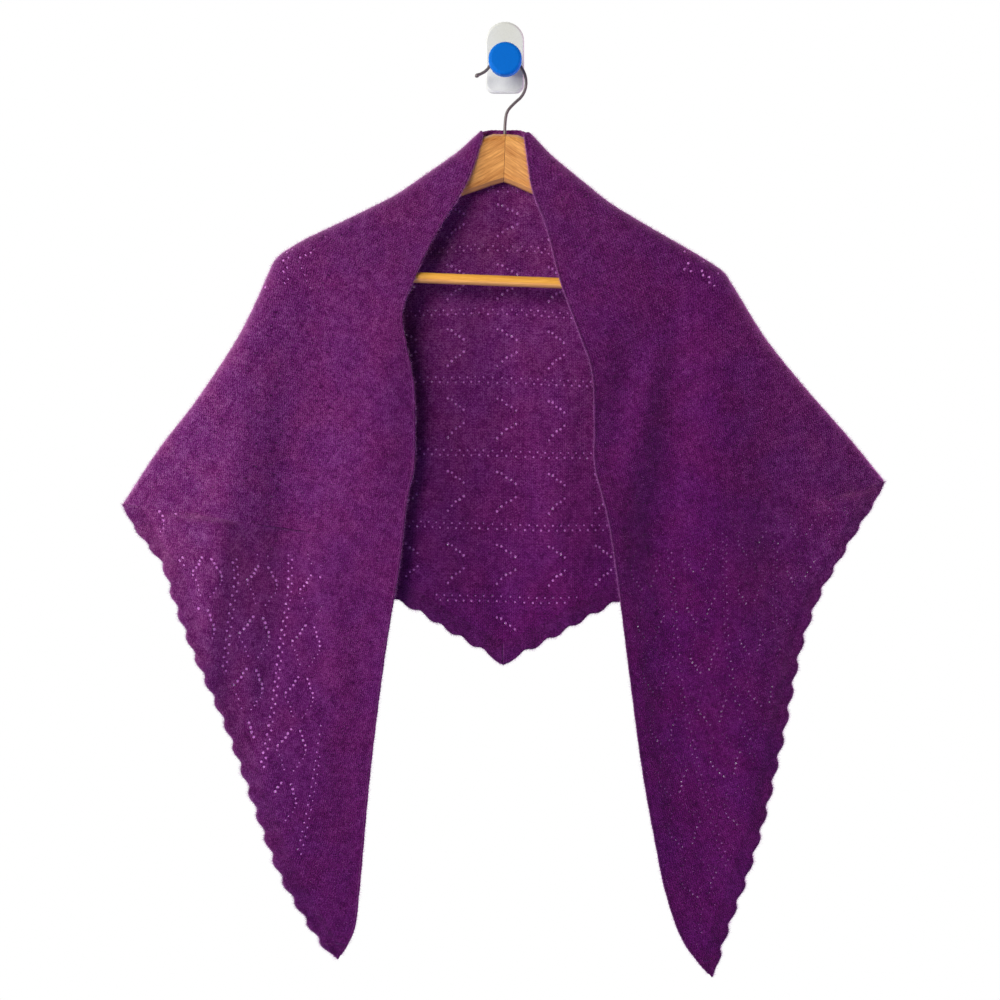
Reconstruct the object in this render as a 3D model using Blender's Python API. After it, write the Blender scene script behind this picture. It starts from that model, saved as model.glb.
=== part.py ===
"""A triangular lace shawl draped over a wooden hanger that hangs on a wall hook.

Frame: metres, +Z up, +X to the right of someone facing the shawl, and the wall is
the plane y = 0, so everything lies at negative y. The origin is the centre of the
wall plate's back face. Heights of the shawl and of the hanger are written as drops
below DATUM, the level of the hanger's top edge.
"""

import math

import bmesh
import bpy
import numpy as np

MM = 0.001

# Wall hook
PLATE_WIDTH = 38.0 * MM
PLATE_TOP = 34.5 * MM
PLATE_BOTTOM = -36.2 * MM
PLATE_CORNER = 8.0 * MM
PLATE_THICKNESS = 5.0 * MM
PLATE_BEVEL = 1.2 * MM
PEG_Z = -14.3 * MM
PEG_RADIUS = 5.0 * MM
PEG_FRONT = -36.0 * MM
KNOB_RADIUS = 16.2 * MM
KNOB_THICKNESS = 13.0 * MM
KNOB_ROUNDING = 3.0 * MM

# Hanger
DATUM = -81.4 * MM
HANGER_X = 0.4 * MM
HANGER_Y = -24.0 * MM
HANGER_TILT = math.radians(2.2)
ARM_HALF_THICKNESS = 8.0 * MM
BAR_RADIUS = 5.2 * MM
BAR_DROP = 148.0 * MM
BAR_HALF_LENGTH = 206.0 * MM
BAR_REACH = 203.0 * MM
WIRE_RADIUS = 1.5 * MM
WIRE_DEPTH_IN_WOOD = 18.0 * MM
BORE_CLEARANCE = 0.3 * MM

# Shawl
CLOTH = 2.0 * MM
SEAM = 0.3 * MM
CLOTH_STANDOFF = 1.8 * MM
FRONT_STANDOFF = 2.2 * MM
BACK_STANDOFF = 2.8 * MM
NECK_HALF = 22.0 * MM
NECK_DROP = -2.2 * MM
NECK_LIFT = 3.4 * MM
NECK_LIFT_REACH = 12.0 * MM
HALF_SPAN = 843.0 * MM
CORNER_SPAN = 441.0 * MM
EDGING_WIDTH = 16.0 * MM
SCALLOP_DEPTH = 3.6 * MM
SCALLOPS_ON_FRONT = 21
SCALLOPS_ON_HALF_BACK = 17

# The arm in its own frame, before the tilt: distance from the middle, drop of its
# top and lower edges, and how far its middle plane stands in front of HANGER_Y.
ARM_ROWS = [
    # out, top, low, forward (mm)
    (0.0, 1.0, 48.0, 0.0),
    (12.0, 1.4, 52.0, 0.2),
    (22.0, 5.0, 56.2, 0.6),
    (38.0, 17.2, 62.4, 1.2),
    (57.0, 32.2, 70.4, 2.2),
    (80.0, 50.0, 81.2, 4.2),
    (103.0, 67.6, 93.0, 7.0),
    (128.0, 82.6, 106.6, 10.4),
    (153.0, 96.8, 122.0, 14.0),
    (176.0, 109.6, 136.4, 17.4),
    (194.0, 120.0, 148.6, 20.2),
    (204.0, 127.6, 154.4, 21.6),
    (210.5, 135.5, 155.4, 22.5),
    (213.0, 141.5, 150.5, 22.9),
]

# Where the shawl's fold leaves the arm's end and hangs free, down to the corner.
LEFT_FREE_FOLD = [
    # x, drop, y, reach in front, reach behind (mm)
    (-219.5, 125.5, -46.5, 11.0, 11.5),
    (-229.0, 143.0, -47.5, 11.5, 12.0),
    (-238.5, 165.0, -47.5, 12.5, 13.0),
    (-259.5, 206.0, -46.5, 13.5, 15.0),
    (-298.5, 264.0, -44.5, 10.0, 11.0),
    (-335.0, 310.5, -42.0, 6.0, 7.0),
    (-370.5, 364.0, -40.0, 2.2, 2.2),
]
RIGHT_FREE_FOLD = [
    (209.5, 139.0, -46.5, 11.0, 11.5),
    (218.0, 151.0, -47.5, 11.5, 12.0),
    (226.5, 165.0, -47.5, 12.5, 13.0),
    (252.5, 206.0, -46.0, 13.5, 15.0),
    (290.5, 252.5, -44.5, 11.0, 12.0),
    (332.0, 299.0, -42.0, 6.5, 7.5),
    (367.5, 342.0, -40.0, 2.2, 2.2),
]

# The plain top edge of the shawl, down each front from the neck to the tip.
LEFT_EDGE = [
    # x, drop, y (mm)
    (-22.6, 2.9, -34.0),
    (-33.2, 37.7, -37.0),
    (-45.7, 65.2, -42.0),
    (-60.2, 89.2, -46.0),
    (-74.5, 115.0, -50.0),
    (-89.7, 150.3, -54.5),
    (-99.6, 180.5, -57.0),
    (-95.3, 214.1, -57.0),
    (-88.7, 249.5, -56.0),
    (-87.7, 292.8, -55.5),
    (-88.7, 329.3, -55.5),
    (-95.4, 360.1, -55.5),
    (-102.1, 417.8, -56.0),
    (-117.4, 513.9, -56.0),
    (-130.9, 622.5, -56.0),
    (-141.5, 737.8, -56.0),
    (-146.5, 774.0, -56.0),
    (-160.7, 802.2, -56.0),
]
RIGHT_EDGE = [
    (19.4, 2.9, -34.0),
    (23.0, 30.0, -36.5),
    (28.0, 60.9, -41.0),
    (41.4, 98.9, -47.5),
    (53.7, 148.4, -54.5),
    (71.9, 199.5, -57.0),
    (84.4, 237.0, -56.0),
    (87.0, 290.9, -55.5),
    (87.4, 327.4, -55.5),
    (100.7, 382.2, -56.0),
    (110.3, 446.6, -56.0),
    (123.8, 552.3, -56.0),
    (133.4, 622.5, -56.0),
    (145.9, 691.7, -56.0),
    (155.5, 737.8, -56.0),
    (171.8, 783.9, -56.0),
    (199.0, 819.5, -56.0),
]

# The base line of the scalloped edging, from each corner to the tip in front, and
# from the middle of the back to each corner.
LEFT_HEM = [
    (-370.5, 364.0, -42.2),
    (-349.5, 395.0, -45.0),
    (-327.0, 424.0, -50.0),
    (-316.0, 455.0, -54.0),
    (-300.0, 495.6, -56.0),
    (-262.5, 587.9, -56.0),
    (-221.5, 703.2, -56.0),
    (-195.0, 754.1, -56.0),
    (-176.0, 785.0, -56.0),
    (-160.7, 802.2, -56.0),
]
RIGHT_HEM = [
    (367.5, 342.0, -42.2),
    (342.5, 380.4, -45.0),
    (318.0, 420.9, -50.0),
    (297.0, 461.1, -54.0),
    (281.5, 507.1, -56.0),
    (267.5, 576.3, -56.0),
    (247.5, 662.8, -56.0),
    (231.5, 717.6, -56.0),
    (212.0, 775.0, -56.0),
    (199.0, 819.5, -56.0),
]
BACK_HEM_LEFT = [
    (-2.0, 517.4, -20.0),
    (-24.7, 504.5, -20.0),
    (-56.2, 485.8, -20.0),
    (-99.4, 459.8, -22.0),
    (-188.4, 426.5, -26.0),
    (-308.8, 385.4, -33.0),
    (-370.5, 364.0, -37.6),
]
BACK_HEM_RIGHT = [
    (-2.0, 517.4, -20.0),
    (20.0, 507.5, -20.0),
    (42.3, 495.8, -20.0),
    (106.1, 460.3, -22.0),
    (210.7, 412.8, -27.0),
    (278.6, 381.5, -31.0),
    (367.5, 342.0, -37.6),
]

# Creases: a soft ridge where the depth is positive and a trough where it is
# negative, along a line that bows sideways between its two ends.
LEFT_CREASES = [
    # x at top, drop at top, bow, x at foot, drop at foot, width, depth (mm)
    (-224.0, 145.0, -8.0, -294.0, 530.0, 22.0, 8.0),
    (-200.0, 140.0, -6.0, -238.0, 510.0, 22.0, -9.0),
    (-158.0, 105.0, -8.0, -190.0, 480.0, 26.0, 4.5),
    (-98.0, 120.0, -6.0, -136.0, 420.0, 24.0, 4.0),
    (-128.0, 340.0, 0.0, -152.0, 840.0, 22.0, -4.5),
    (-334.0, 300.0, 4.0, -304.0, 450.0, 22.0, 4.5),
    (-236.0, 500.0, 6.0, -196.0, 820.0, 22.0, 4.5),
]
RIGHT_CREASES = [
    (132.0, 185.0, -4.0, 90.0, 310.0, 22.0, -6.0),
    (168.0, 145.0, -2.0, 128.0, 490.0, 22.0, -9.5),
    (208.0, 150.0, 0.0, 168.0, 430.0, 24.0, 6.5),
    (224.0, 180.0, -4.0, 272.0, 460.0, 24.0, -5.5),
    (306.0, 280.0, 4.0, 300.0, 430.0, 26.0, 5.0),
    (140.0, 430.0, -2.0, 152.0, 810.0, 22.0, -5.5),
    (202.0, 430.0, 2.0, 200.0, 790.0, 24.0, 6.0),
]
BACK_CREASES = [
    (-200.0, 130.0, -10.0, -318.0, 430.0, 26.0, -6.5),
    (-150.0, 110.0, -6.0, -236.0, 480.0, 25.0, 6.0),
    (-96.0, 90.0, -4.0, -150.0, 540.0, 25.0, -6.0),
    (-44.0, 120.0, 0.0, -72.0, 590.0, 22.0, 4.5),
    (-4.0, 230.0, 2.0, -14.0, 620.0, 21.0, -5.0),
    (40.0, 130.0, 0.0, 52.0, 590.0, 22.0, 5.0),
    (92.0, 100.0, 6.0, 128.0, 540.0, 25.0, -6.5),
    (150.0, 115.0, 8.0, 214.0, 490.0, 24.0, 6.0),
    (196.0, 140.0, 8.0, 292.0, 430.0, 26.0, -6.0),
]

# The wire hook's centre line, in its own upright plane: x and z.
WIRE_ROWS = [
    (-0.6, -98.5),
    (-0.3, -82.0),
    (0.2, -70.0),
    (2.2, -60.0),
    (9.0, -52.0),
    (16.4, -45.0),
    (20.3, -36.0),
    (20.0, -25.5),
    (15.4, -15.8),
    (8.0, -10.1),
    (0.0, -7.5),
    (-8.4, -9.9),
    (-14.6, -15.0),
    (-19.6, -20.6),
    (-27.4, -24.6),
]

# Where the fold over an arm is taken, as distances from the hanger's middle (mm).
FOLD_OUTS = (22.0, 30.0, 42.0, 57.0, 80.0, 103.0, 128.0, 153.0, 176.0, 192.0)

# Shape of the creases, the scallops and the turn over the fold
CREASE_FADE = 0.6
SCALLOP_ROUNDNESS = 0.75
TANGENT_STEP = 0.01
MOST_TURN = 0.8
LEAST_FRONT_SLANT = 0.3
LEAST_BACK_SLANT = 0.35
NECK_SLANT = 0.8
NECK_TURN_FROM = 0.55
CREASES_FREE_BELOW_FOLD = 30.0 * MM
LEAST_CREASE = 0.25
BACK_SETTLES = 1.15
BACK_CREASES_FROM_FOLD = 3.0

# Mesh density
FOLD_COLUMNS = 20
NECK_COLUMNS = 4
FRONT_FLAT_ROWS = 15
BACK_FLAT_ROWS = 11
ARC_ANGLES = (90.0, 60.0, 30.0, 0.0)
ARM_SIDES_OF_ROUND = 5
WIRE_POINTS = 36
KNOB_SIDES = 24


def clear_scene():
    for item in list(bpy.data.objects):
        bpy.data.objects.remove(item, do_unlink=True)


def material(name, colour, roughness, metallic=0.0):
    made = bpy.data.materials.new(name)
    made.use_nodes = True
    shader = made.node_tree.nodes["Principled BSDF"]
    shader.inputs["Base Color"].default_value = (*colour, 1.0)
    shader.inputs["Roughness"].default_value = roughness
    shader.inputs["Metallic"].default_value = metallic
    made.diffuse_color = (*colour, 1.0)
    return made


def add_mesh(name, points, faces, finish, smooth=True):
    """One object from points in metres and faces of any number of corners."""
    mesh = bpy.data.meshes.new(name)
    mesh.from_pydata([tuple(p) for p in points], [], faces)
    mesh.update()
    tidy = bmesh.new()
    tidy.from_mesh(mesh)
    bmesh.ops.recalc_face_normals(tidy, faces=tidy.faces)
    tidy.to_mesh(mesh)
    tidy.free()
    if smooth:
        mesh.shade_smooth()
    mesh.materials.append(finish)
    thing = bpy.data.objects.new(name, mesh)
    bpy.context.scene.collection.objects.link(thing)
    return thing


class Path:
    """A smooth curve through rows of numbers, read by its fraction of length.

    The first three columns are a place, and any others are carried along.
    """

    STEPS = 12

    def __init__(self, rows):
        rows = np.array(rows, float)
        before = 2 * rows[0] - rows[1]
        after = 2 * rows[-1] - rows[-2]
        knots = np.vstack([before, rows, after])
        dense = []
        for i in range(1, len(knots) - 2):
            p0, p1, p2, p3 = knots[i - 1 : i + 3]
            for t in np.arange(self.STEPS) / self.STEPS:
                dense.append(
                    0.5
                    * (
                        2 * p1
                        + (p2 - p0) * t
                        + (2 * p0 - 5 * p1 + 4 * p2 - p3) * t**2
                        + (3 * p1 - p0 - 3 * p2 + p3) * t**3
                    )
                )
        dense.append(rows[-1])
        self.dense = np.array(dense)
        place = self.dense[:, [0, 2]] if rows.shape[1] > 2 else self.dense
        steps = np.hypot(*np.diff(place, axis=0).T)
        self.run = np.concatenate([[0.0], np.cumsum(steps)])
        self.length = self.run[-1]

    def at(self, fraction):
        here = min(max(fraction, 0.0), 1.0) * self.length
        return np.array([np.interp(here, self.run, column) for column in self.dense.T])


def path_of_rows(rows):
    """x, drop, y and other columns in mm become x, y, z and the others in metres."""
    rows = np.array(rows, float) * MM
    placed = np.column_stack([rows[:, 0], rows[:, 2], DATUM - rows[:, 1]])
    return np.column_stack([placed, rows[:, 3:]])


# Hanger arms ---------------------------------------------------------------------


def hang(x, drop):
    """From the hanger's own upright frame to the tilted one: x and z."""
    across = x * math.cos(HANGER_TILT) - drop * math.sin(HANGER_TILT)
    down = drop * math.cos(HANGER_TILT) + x * math.sin(HANGER_TILT)
    return HANGER_X + across, DATUM - down


def arm_rows():
    return np.array(ARM_ROWS) * MM


def arm_value(out, column):
    rows = arm_rows()
    return float(np.interp(out, rows[:, 0], rows[:, column]))


def arm_section(side, out, top, low, forward):
    """A ring round the arm: a half round on top and below, with flat sides."""
    half = min(ARM_HALF_THICKNESS, 0.5 * (low - top))
    middle_y = HANGER_Y - forward
    ring = []
    for centre, first in ((top + half, 180.0), (low - half, 0.0)):
        for k in range(ARM_SIDES_OF_ROUND + 1):
            angle = math.radians(first + 180.0 * k / ARM_SIDES_OF_ROUND)
            across = ARM_HALF_THICKNESS * math.cos(angle)
            x, z = hang(side * out, centre + half * math.sin(angle))
            ring.append((x, middle_y + across, z))
    return ring


def build_arm(name, side, finish):
    rings = []
    for out, top, low, forward in arm_rows():
        reach = out if out else 0.5 * SEAM
        rings.append(arm_section(side, reach, top, low, forward))
    count = len(rings[0])
    points = [p for ring in rings for p in ring]
    faces = [list(range(count)), [len(points) - 1 - k for k in range(count)]]
    for i in range(len(rings) - 1):
        for k in range(count):
            after = (k + 1) % count
            here, there = i * count, (i + 1) * count
            faces.append([here + k, here + after, there + after, there + k])
    return add_mesh(name, points, faces, finish)


def cylinder_between(name, start, end, radius, finish, sides=20):
    start, end = np.array(start), np.array(end)
    along = (end - start) / np.linalg.norm(end - start)
    helper = np.array([0.0, 1.0, 0.0]) if abs(along[1]) < 0.9 else np.array([1.0, 0, 0])
    first = np.cross(along, helper)
    first /= np.linalg.norm(first)
    second = np.cross(along, first)
    points = []
    for centre in (start, end):
        for k in range(sides):
            angle = 2 * math.pi * k / sides
            points.append(
                centre + radius * (math.cos(angle) * first + math.sin(angle) * second)
            )
    faces = [list(range(sides)), list(range(2 * sides - 1, sides - 1, -1))]
    faces += [
        [k, (k + 1) % sides, sides + (k + 1) % sides, sides + k] for k in range(sides)
    ]
    return add_mesh(name, points, faces, finish)


def cut_with(target, cutter):
    cutter.hide_render = True
    cutter.display_type = "WIRE"
    cut = target.modifiers.new(cutter.name, "BOOLEAN")
    cut.operation = "DIFFERENCE"
    cut.solver = "EXACT"
    cut.object = cutter


def build_hanger(wood, bar_wood, steel):
    left = build_arm("hanger_arm_left", -1.0, wood)
    right = build_arm("hanger_arm_right", 1.0, wood)

    bar_y = HANGER_Y - arm_value(BAR_REACH, 3)
    ends = []
    for side in (-1.0, 1.0):
        x, z = hang(side * BAR_REACH, BAR_DROP)
        ends.append((x, bar_y, z))
    cylinder_between("trouser_bar", ends[0], ends[1], BAR_RADIUS, bar_wood)

    deeper = BAR_HALF_LENGTH / BAR_REACH
    middle = 0.5 * (np.array(ends[0]) + np.array(ends[1]))
    for arm, end in ((left, ends[0]), (right, ends[1])):
        bottom = middle + (np.array(end) - middle) * deeper
        bore = cylinder_between(
            "cutter_bar_" + arm.name,
            middle,
            bottom,
            BAR_RADIUS + BORE_CLEARANCE,
            bar_wood,
        )
        cut_with(arm, bore)

    wire_x = WIRE_ROWS[0][0] * MM
    hole_foot = (wire_x, HANGER_Y, DATUM - WIRE_DEPTH_IN_WOOD)
    hole_top = (wire_x, HANGER_Y, DATUM + WIRE_DEPTH_IN_WOOD)
    hole = cylinder_between(
        "cutter_wire", hole_foot, hole_top, WIRE_RADIUS + 2 * BORE_CLEARANCE, steel
    )
    cut_with(left, hole)
    cut_with(right, hole)


def build_wire_hook(steel):
    route = Path([(x * MM, HANGER_Y, z * MM) for x, z in WIRE_ROWS])
    curve = bpy.data.curves.new("wire_hook", "CURVE")
    curve.dimensions = "3D"
    curve.bevel_depth = WIRE_RADIUS
    curve.bevel_resolution = 2
    curve.use_fill_caps = True
    spline = curve.splines.new("POLY")
    spline.points.add(WIRE_POINTS - 1)
    for i in range(WIRE_POINTS):
        spline.points[i].co = (*route.at(i / (WIRE_POINTS - 1)), 1.0)
    curve.materials.append(steel)
    hook = bpy.data.objects.new("wire_hook", curve)
    bpy.context.scene.collection.objects.link(hook)


# Wall hook -----------------------------------------------------------------------


def plate_outline():
    """Round at the top and with small round corners below: x and z."""
    half = 0.5 * PLATE_WIDTH
    outline = []
    for k in range(17):
        angle = math.radians(180.0 * k / 16)
        top_centre = PLATE_TOP - half
        outline.append((half * math.cos(angle), top_centre + half * math.sin(angle)))
    for centre_x, first in ((PLATE_CORNER - half, 180.0), (half - PLATE_CORNER, 270.0)):
        for k in range(6):
            angle = math.radians(first + 90.0 * k / 5)
            x = centre_x + PLATE_CORNER * math.cos(angle)
            z = PLATE_BOTTOM + PLATE_CORNER + PLATE_CORNER * math.sin(angle)
            outline.append((x, z))
    return outline


def build_wall_hook(white, blue):
    outline = plate_outline()
    count = len(outline)
    layers = (
        (0.0, 1.0),
        (PLATE_BEVEL - PLATE_THICKNESS, 1.0),
        (-PLATE_THICKNESS, 1.0 - 2 * PLATE_BEVEL / PLATE_WIDTH),
    )
    points = [(x * grow, y, z * grow) for y, grow in layers for x, z in outline]
    faces = [list(range(count)), list(range(3 * count - 1, 2 * count - 1, -1))]
    for layer in range(2):
        base = layer * count
        for k in range(count):
            after = (k + 1) % count
            faces.append(
                [base + k, base + after, base + count + after, base + count + k]
            )
    add_mesh("wall_plate", points, faces, white, smooth=False)

    cylinder_between(
        "peg",
        (0.0, -PLATE_THICKNESS - SEAM, PEG_Z),
        (0.0, PEG_FRONT, PEG_Z),
        PEG_RADIUS,
        white,
    )

    front = PEG_FRONT - SEAM - KNOB_THICKNESS
    flat = KNOB_RADIUS - KNOB_ROUNDING
    profile = [(flat, PEG_FRONT - SEAM)]
    for k in range(1, 4):
        angle = math.radians(90.0 * k / 3)
        profile.append(
            (
                flat + KNOB_ROUNDING * math.sin(angle),
                PEG_FRONT - SEAM - KNOB_ROUNDING * (1 - math.cos(angle)),
            )
        )
    for k in range(4):
        angle = math.radians(90.0 * k / 3)
        profile.append(
            (
                flat + KNOB_ROUNDING * math.cos(angle),
                front + KNOB_ROUNDING * (1 - math.sin(angle)),
            )
        )
    sides = KNOB_SIDES
    points = []
    for radius, y in profile:
        for k in range(sides):
            angle = 2 * math.pi * k / sides
            points.append((radius * math.cos(angle), y, PEG_Z + radius * math.sin(angle)))
    faces = [list(range(sides)), list(range(len(points) - 1, len(points) - 1 - sides, -1))]
    for ring in range(len(profile) - 1):
        base = ring * sides
        for k in range(sides):
            after = (k + 1) % sides
            faces.append([base + k, base + after, base + sides + after, base + sides + k])
    add_mesh("knob", points, faces, blue)


# Shawl: the lines that hold its surfaces -------------------------------------------


def fold_rows(side, free_rows):
    """The fold over one arm and down to the corner: x, y, z, reach in front, behind."""
    rows = []
    for out in np.array(FOLD_OUTS) * MM:
        step = 2.0 * MM
        before = hang(side * (out - step), arm_value(out - step, 1))
        after = hang(side * (out + step), arm_value(out + step, 1))
        along = np.array(after) - np.array(before)
        along /= np.linalg.norm(along)
        outward = np.array([-along[1], along[0]]) * (1.0 if side > 0 else -1.0)
        lift = NECK_LIFT * math.exp(-(((out - NECK_HALF) / NECK_LIFT_REACH) ** 2))
        x, z = np.array(hang(side * out, arm_value(out, 1))) + outward * (
            CLOTH_STANDOFF + lift
        )
        in_front = ARM_HALF_THICKNESS + FRONT_STANDOFF
        behind = ARM_HALF_THICKNESS + BACK_STANDOFF
        rows.append((x, HANGER_Y - arm_value(out, 3), z, in_front, behind))
    return rows + [tuple(row) for row in path_of_rows(free_rows)]


class Side:
    """The curves of one half of the shawl."""

    def __init__(self, sign, free_fold, edge, hem, back_hem, creases):
        self.sign = sign
        self.fold = Path(fold_rows(sign, free_fold))
        self.edge = Path(path_of_rows(edge))
        self.hem = Path(path_of_rows(hem))
        self.back_hem = Path(path_of_rows(back_hem))
        self.creases = creases


def fold_tangent(side, where):
    """The fold's direction at a fraction of it, not of unit length."""
    return (side.fold.at(where + TANGENT_STEP) - side.fold.at(where - TANGENT_STEP))[:3]


def smooth_step(value):
    value = min(max(value, 0.0), 1.0)
    return value * value * (3 - 2 * value)


def crease_depth(creases, x, z):
    """How far the cloth stands towards the viewer at a place, from its creases."""
    drop = DATUM - z
    total = 0.0
    for row in creases:
        x_top, drop_top, bow, x_foot, drop_foot, width, depth = (v * MM for v in row)
        t = (drop - drop_top) / (drop_foot - drop_top)
        if not 0.0 < t < 1.0:
            continue
        line = x_top + (x_foot - x_top) * t + bow * math.sin(math.pi * t)
        fade = math.sin(math.pi * t) ** CREASE_FADE
        total += depth * fade * math.exp(-(((x - line) / width) ** 2))
    return total


CORNER_FRACTION = (CORNER_SPAN - NECK_HALF) / (HALF_SPAN - NECK_HALF)
CORNER_STEP = 0.4 * MM / HALF_SPAN
EDGING_END = 0.994
LAST_BACK_COLUMN = 0.992
LEAST_BODY = 6.0 * MM
HALF_SEAM_BACKWARD = np.array([0.0, 0.5 * SEAM, 0.0])
PHASES = (0.0, 0.2, 0.5, 0.8)


class FrontColumn:
    """One column of stitches on a front, from the plain edge out to fold or hem.

    It is straight in the upright plane. Where it ends on the fold it turns back
    over the arm in a quarter of an ellipse.
    """

    def __init__(self, side, along):
        self.side = side
        self.start = side.edge.at(along)
        self.on_fold = along <= CORNER_FRACTION
        if self.on_fold:
            where = along / CORNER_FRACTION
            end = side.fold.at(where)
            tangent = fold_tangent(side, where)
            self.end, self.depth = end[:3], end[3]
        else:
            where = (along - CORNER_FRACTION) / (1 - CORNER_FRACTION)
            self.end, self.depth = side.hem.at(where), 0.0
            tangent = None
        flat = (self.end - self.start)[[0, 2]]
        self.length = float(np.hypot(*flat))
        self.turn = 0.0
        if self.on_fold:
            tangent = tangent[[0, 2]] / np.hypot(*tangent[[0, 2]])
            square = abs(tangent[0] * flat[1] - tangent[1] * flat[0]) / self.length
            slanted = self.depth / max(square, LEAST_FRONT_SLANT)
            self.turn = min(slanted, MOST_TURN * self.length)

    def flat_point(self, from_start):
        """A point on the straight stretch, at a distance from the plain edge."""
        t = from_start / self.length
        place = self.start + (self.end - self.start) * t
        straight = self.length - self.turn
        y_far = self.end[1] - self.depth
        y = self.start[1] + (y_far - self.start[1]) * min(from_start / straight, 1.0)
        return self.creased(place[0], y, place[2])

    def turned_point(self, angle):
        """A point on the quarter turn: 90 degrees where it begins and 0 on the fold."""
        back = self.turn * (1 - math.cos(angle))
        place = self.end + (self.start - self.end) * back / self.length
        y = self.end[1] - self.depth * math.sin(angle)
        return self.creased(place[0], y, place[2], math.sin(angle))

    def creased(self, x, y, z, share=1.0):
        depth = crease_depth(self.side.creases, x, z)
        free = (self.end[2] - z) / CREASES_FREE_BELOW_FOLD if self.on_fold else 1.0
        return np.array([x, y - depth * share * max(smooth_step(free), LEAST_CREASE), z])


class BackColumn:
    """One column on the back, from the neck or the fold down to the hem."""

    def __init__(self, side, out):
        """out is 0 on the middle line and 1 at the corner."""
        neck = NECK_HALF / CORNER_SPAN
        self.side = side
        first = side.fold.at(0.0)
        if out < neck:
            share = out / neck
            self.turned = smooth_step((share - NECK_TURN_FROM) / (1 - NECK_TURN_FROM))
            x = HANGER_X + (first[0] - HANGER_X) * share
            z = DATUM - NECK_DROP + (first[2] - DATUM + NECK_DROP) * self.turned
            self.depth = first[4]
            y = HANGER_Y + (first[1] - HANGER_Y) * share
            self.top = np.array([x, y, z])
            self.square = NECK_SLANT
        else:
            where = (out - neck) / (1 - neck)
            row = side.fold.at(where)
            ahead = fold_tangent(side, where)
            self.turned = 1.0
            self.depth = row[4]
            self.top = row[:3]
            self.square = abs(ahead[0]) / np.hypot(ahead[0], ahead[2])
        self.foot = side.back_hem.at(out)
        self.first_angle = 0.5 * math.pi * (1 - self.turned)
        self.length = float(np.hypot(*(self.foot - self.top)[[0, 2]]))
        full = self.depth / max(self.square, LEAST_BACK_SLANT)
        self.turn = min(full, MOST_TURN * self.length) * self.turned

    def turned_point(self, angle):
        angle = self.first_angle + (0.5 * math.pi - self.first_angle) * angle
        down = self.turn * (1 - math.cos(angle))
        place = self.top + (self.foot - self.top) * down / self.length
        return np.array([place[0], self.top[1] + self.depth * math.sin(angle), place[2]])

    def flat_point(self, t):
        """t is 0 where the turn ends and 1 on the hem's base line."""
        down = self.turn + (self.length - self.turn) * t
        place = self.top + (self.foot - self.top) * down / self.length
        y_near = self.top[1] + self.depth
        y = y_near + (self.foot[1] - y_near) * smooth_step(t * BACK_SETTLES)
        depth = crease_depth(BACK_CREASES, place[0], place[2])
        shown = depth * smooth_step(t * BACK_CREASES_FROM_FOLD)
        return np.array([place[0], y - shown, place[2]])


# Shawl: solids -------------------------------------------------------------------


def unit(vectors):
    return vectors / np.maximum(np.linalg.norm(vectors, axis=-1, keepdims=True), 1e-12)


def grid_normals(grid, on_fold, borrowed):
    """Unit normals of a grid of points; on the fold's line they have no y part.

    Columns that lie almost on each other borrow the normals of another column.
    """
    along = np.gradient(grid, axis=0)
    across = np.gradient(grid, axis=1)
    normals = unit(np.cross(along, across))
    for column, lender in borrowed:
        normals[column] = normals[lender]
    for i, j in on_fold:
        normals[i, j, 1] = 0.0
    return unit(normals)


def add_slab(name, grid, finish, on_fold=(), borrowed=()):
    """A closed wall of CLOTH thickness about a grid of points."""
    grid = np.array(grid)
    normals = grid_normals(grid, on_fold, borrowed)
    rows, columns = grid.shape[:2]
    upper = grid + 0.5 * CLOTH * normals
    lower = grid - 0.5 * CLOTH * normals
    points = np.concatenate([upper.reshape(-1, 3), lower.reshape(-1, 3)])
    other = rows * columns
    faces = []
    for i in range(rows - 1):
        for j in range(columns - 1):
            a, b = i * columns + j, i * columns + j + 1
            c, d = b + columns, a + columns
            faces.append([a, b, c, d])
            faces.append([other + d, other + c, other + b, other + a])
    rim = [(0, j) for j in range(columns)]
    rim += [(i, columns - 1) for i in range(1, rows)]
    rim += [(rows - 1, j) for j in range(columns - 2, -1, -1)]
    rim += [(i, 0) for i in range(rows - 2, 0, -1)]
    numbers = [i * columns + j for i, j in rim]
    for here, there in zip(numbers, numbers[1:] + numbers[:1]):
        faces.append([here, other + here, other + there, there])
    return add_mesh(name, points, faces, finish)


def arc_angles():
    return [math.radians(angle) for angle in ARC_ANGLES[1:]]


def edging_start(column):
    """How far from the plain edge the edging begins on a column that ends on the hem."""
    return max(column.length - EDGING_WIDTH, 0.0)


def hem_stations():
    """Fractions of the plain edge whose columns end between two scallops."""
    first = CORNER_FRACTION + 3 * CORNER_STEP
    step = (EDGING_END - first) / SCALLOPS_ON_FRONT
    return [first + step * i for i in range(SCALLOPS_ON_FRONT + 1)]


def body_reach(column):
    """How far a front's main piece goes on a column that ends on the hem."""
    return edging_start(column) - 2 * SEAM


def build_front_upper(name, side, finish):
    """The part of a front whose columns end on the fold, over the arm and beyond."""
    grid = []
    for i in range(FOLD_COLUMNS + 1):
        column = FrontColumn(side, CORNER_FRACTION * i / FOLD_COLUMNS)
        reach = column.length - column.turn
        turned = [column.turned_point(angle) for angle in arc_angles()]
        turned[-1] = turned[-1] - HALF_SEAM_BACKWARD
        steps = FRONT_FLAT_ROWS
        line = [column.flat_point(reach * k / steps) for k in range(steps + 1)]
        grid.append(line + turned)
    on_fold = [(i, -1) for i in range(FOLD_COLUMNS + 1)]
    return add_slab(name, grid, finish, on_fold)


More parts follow.
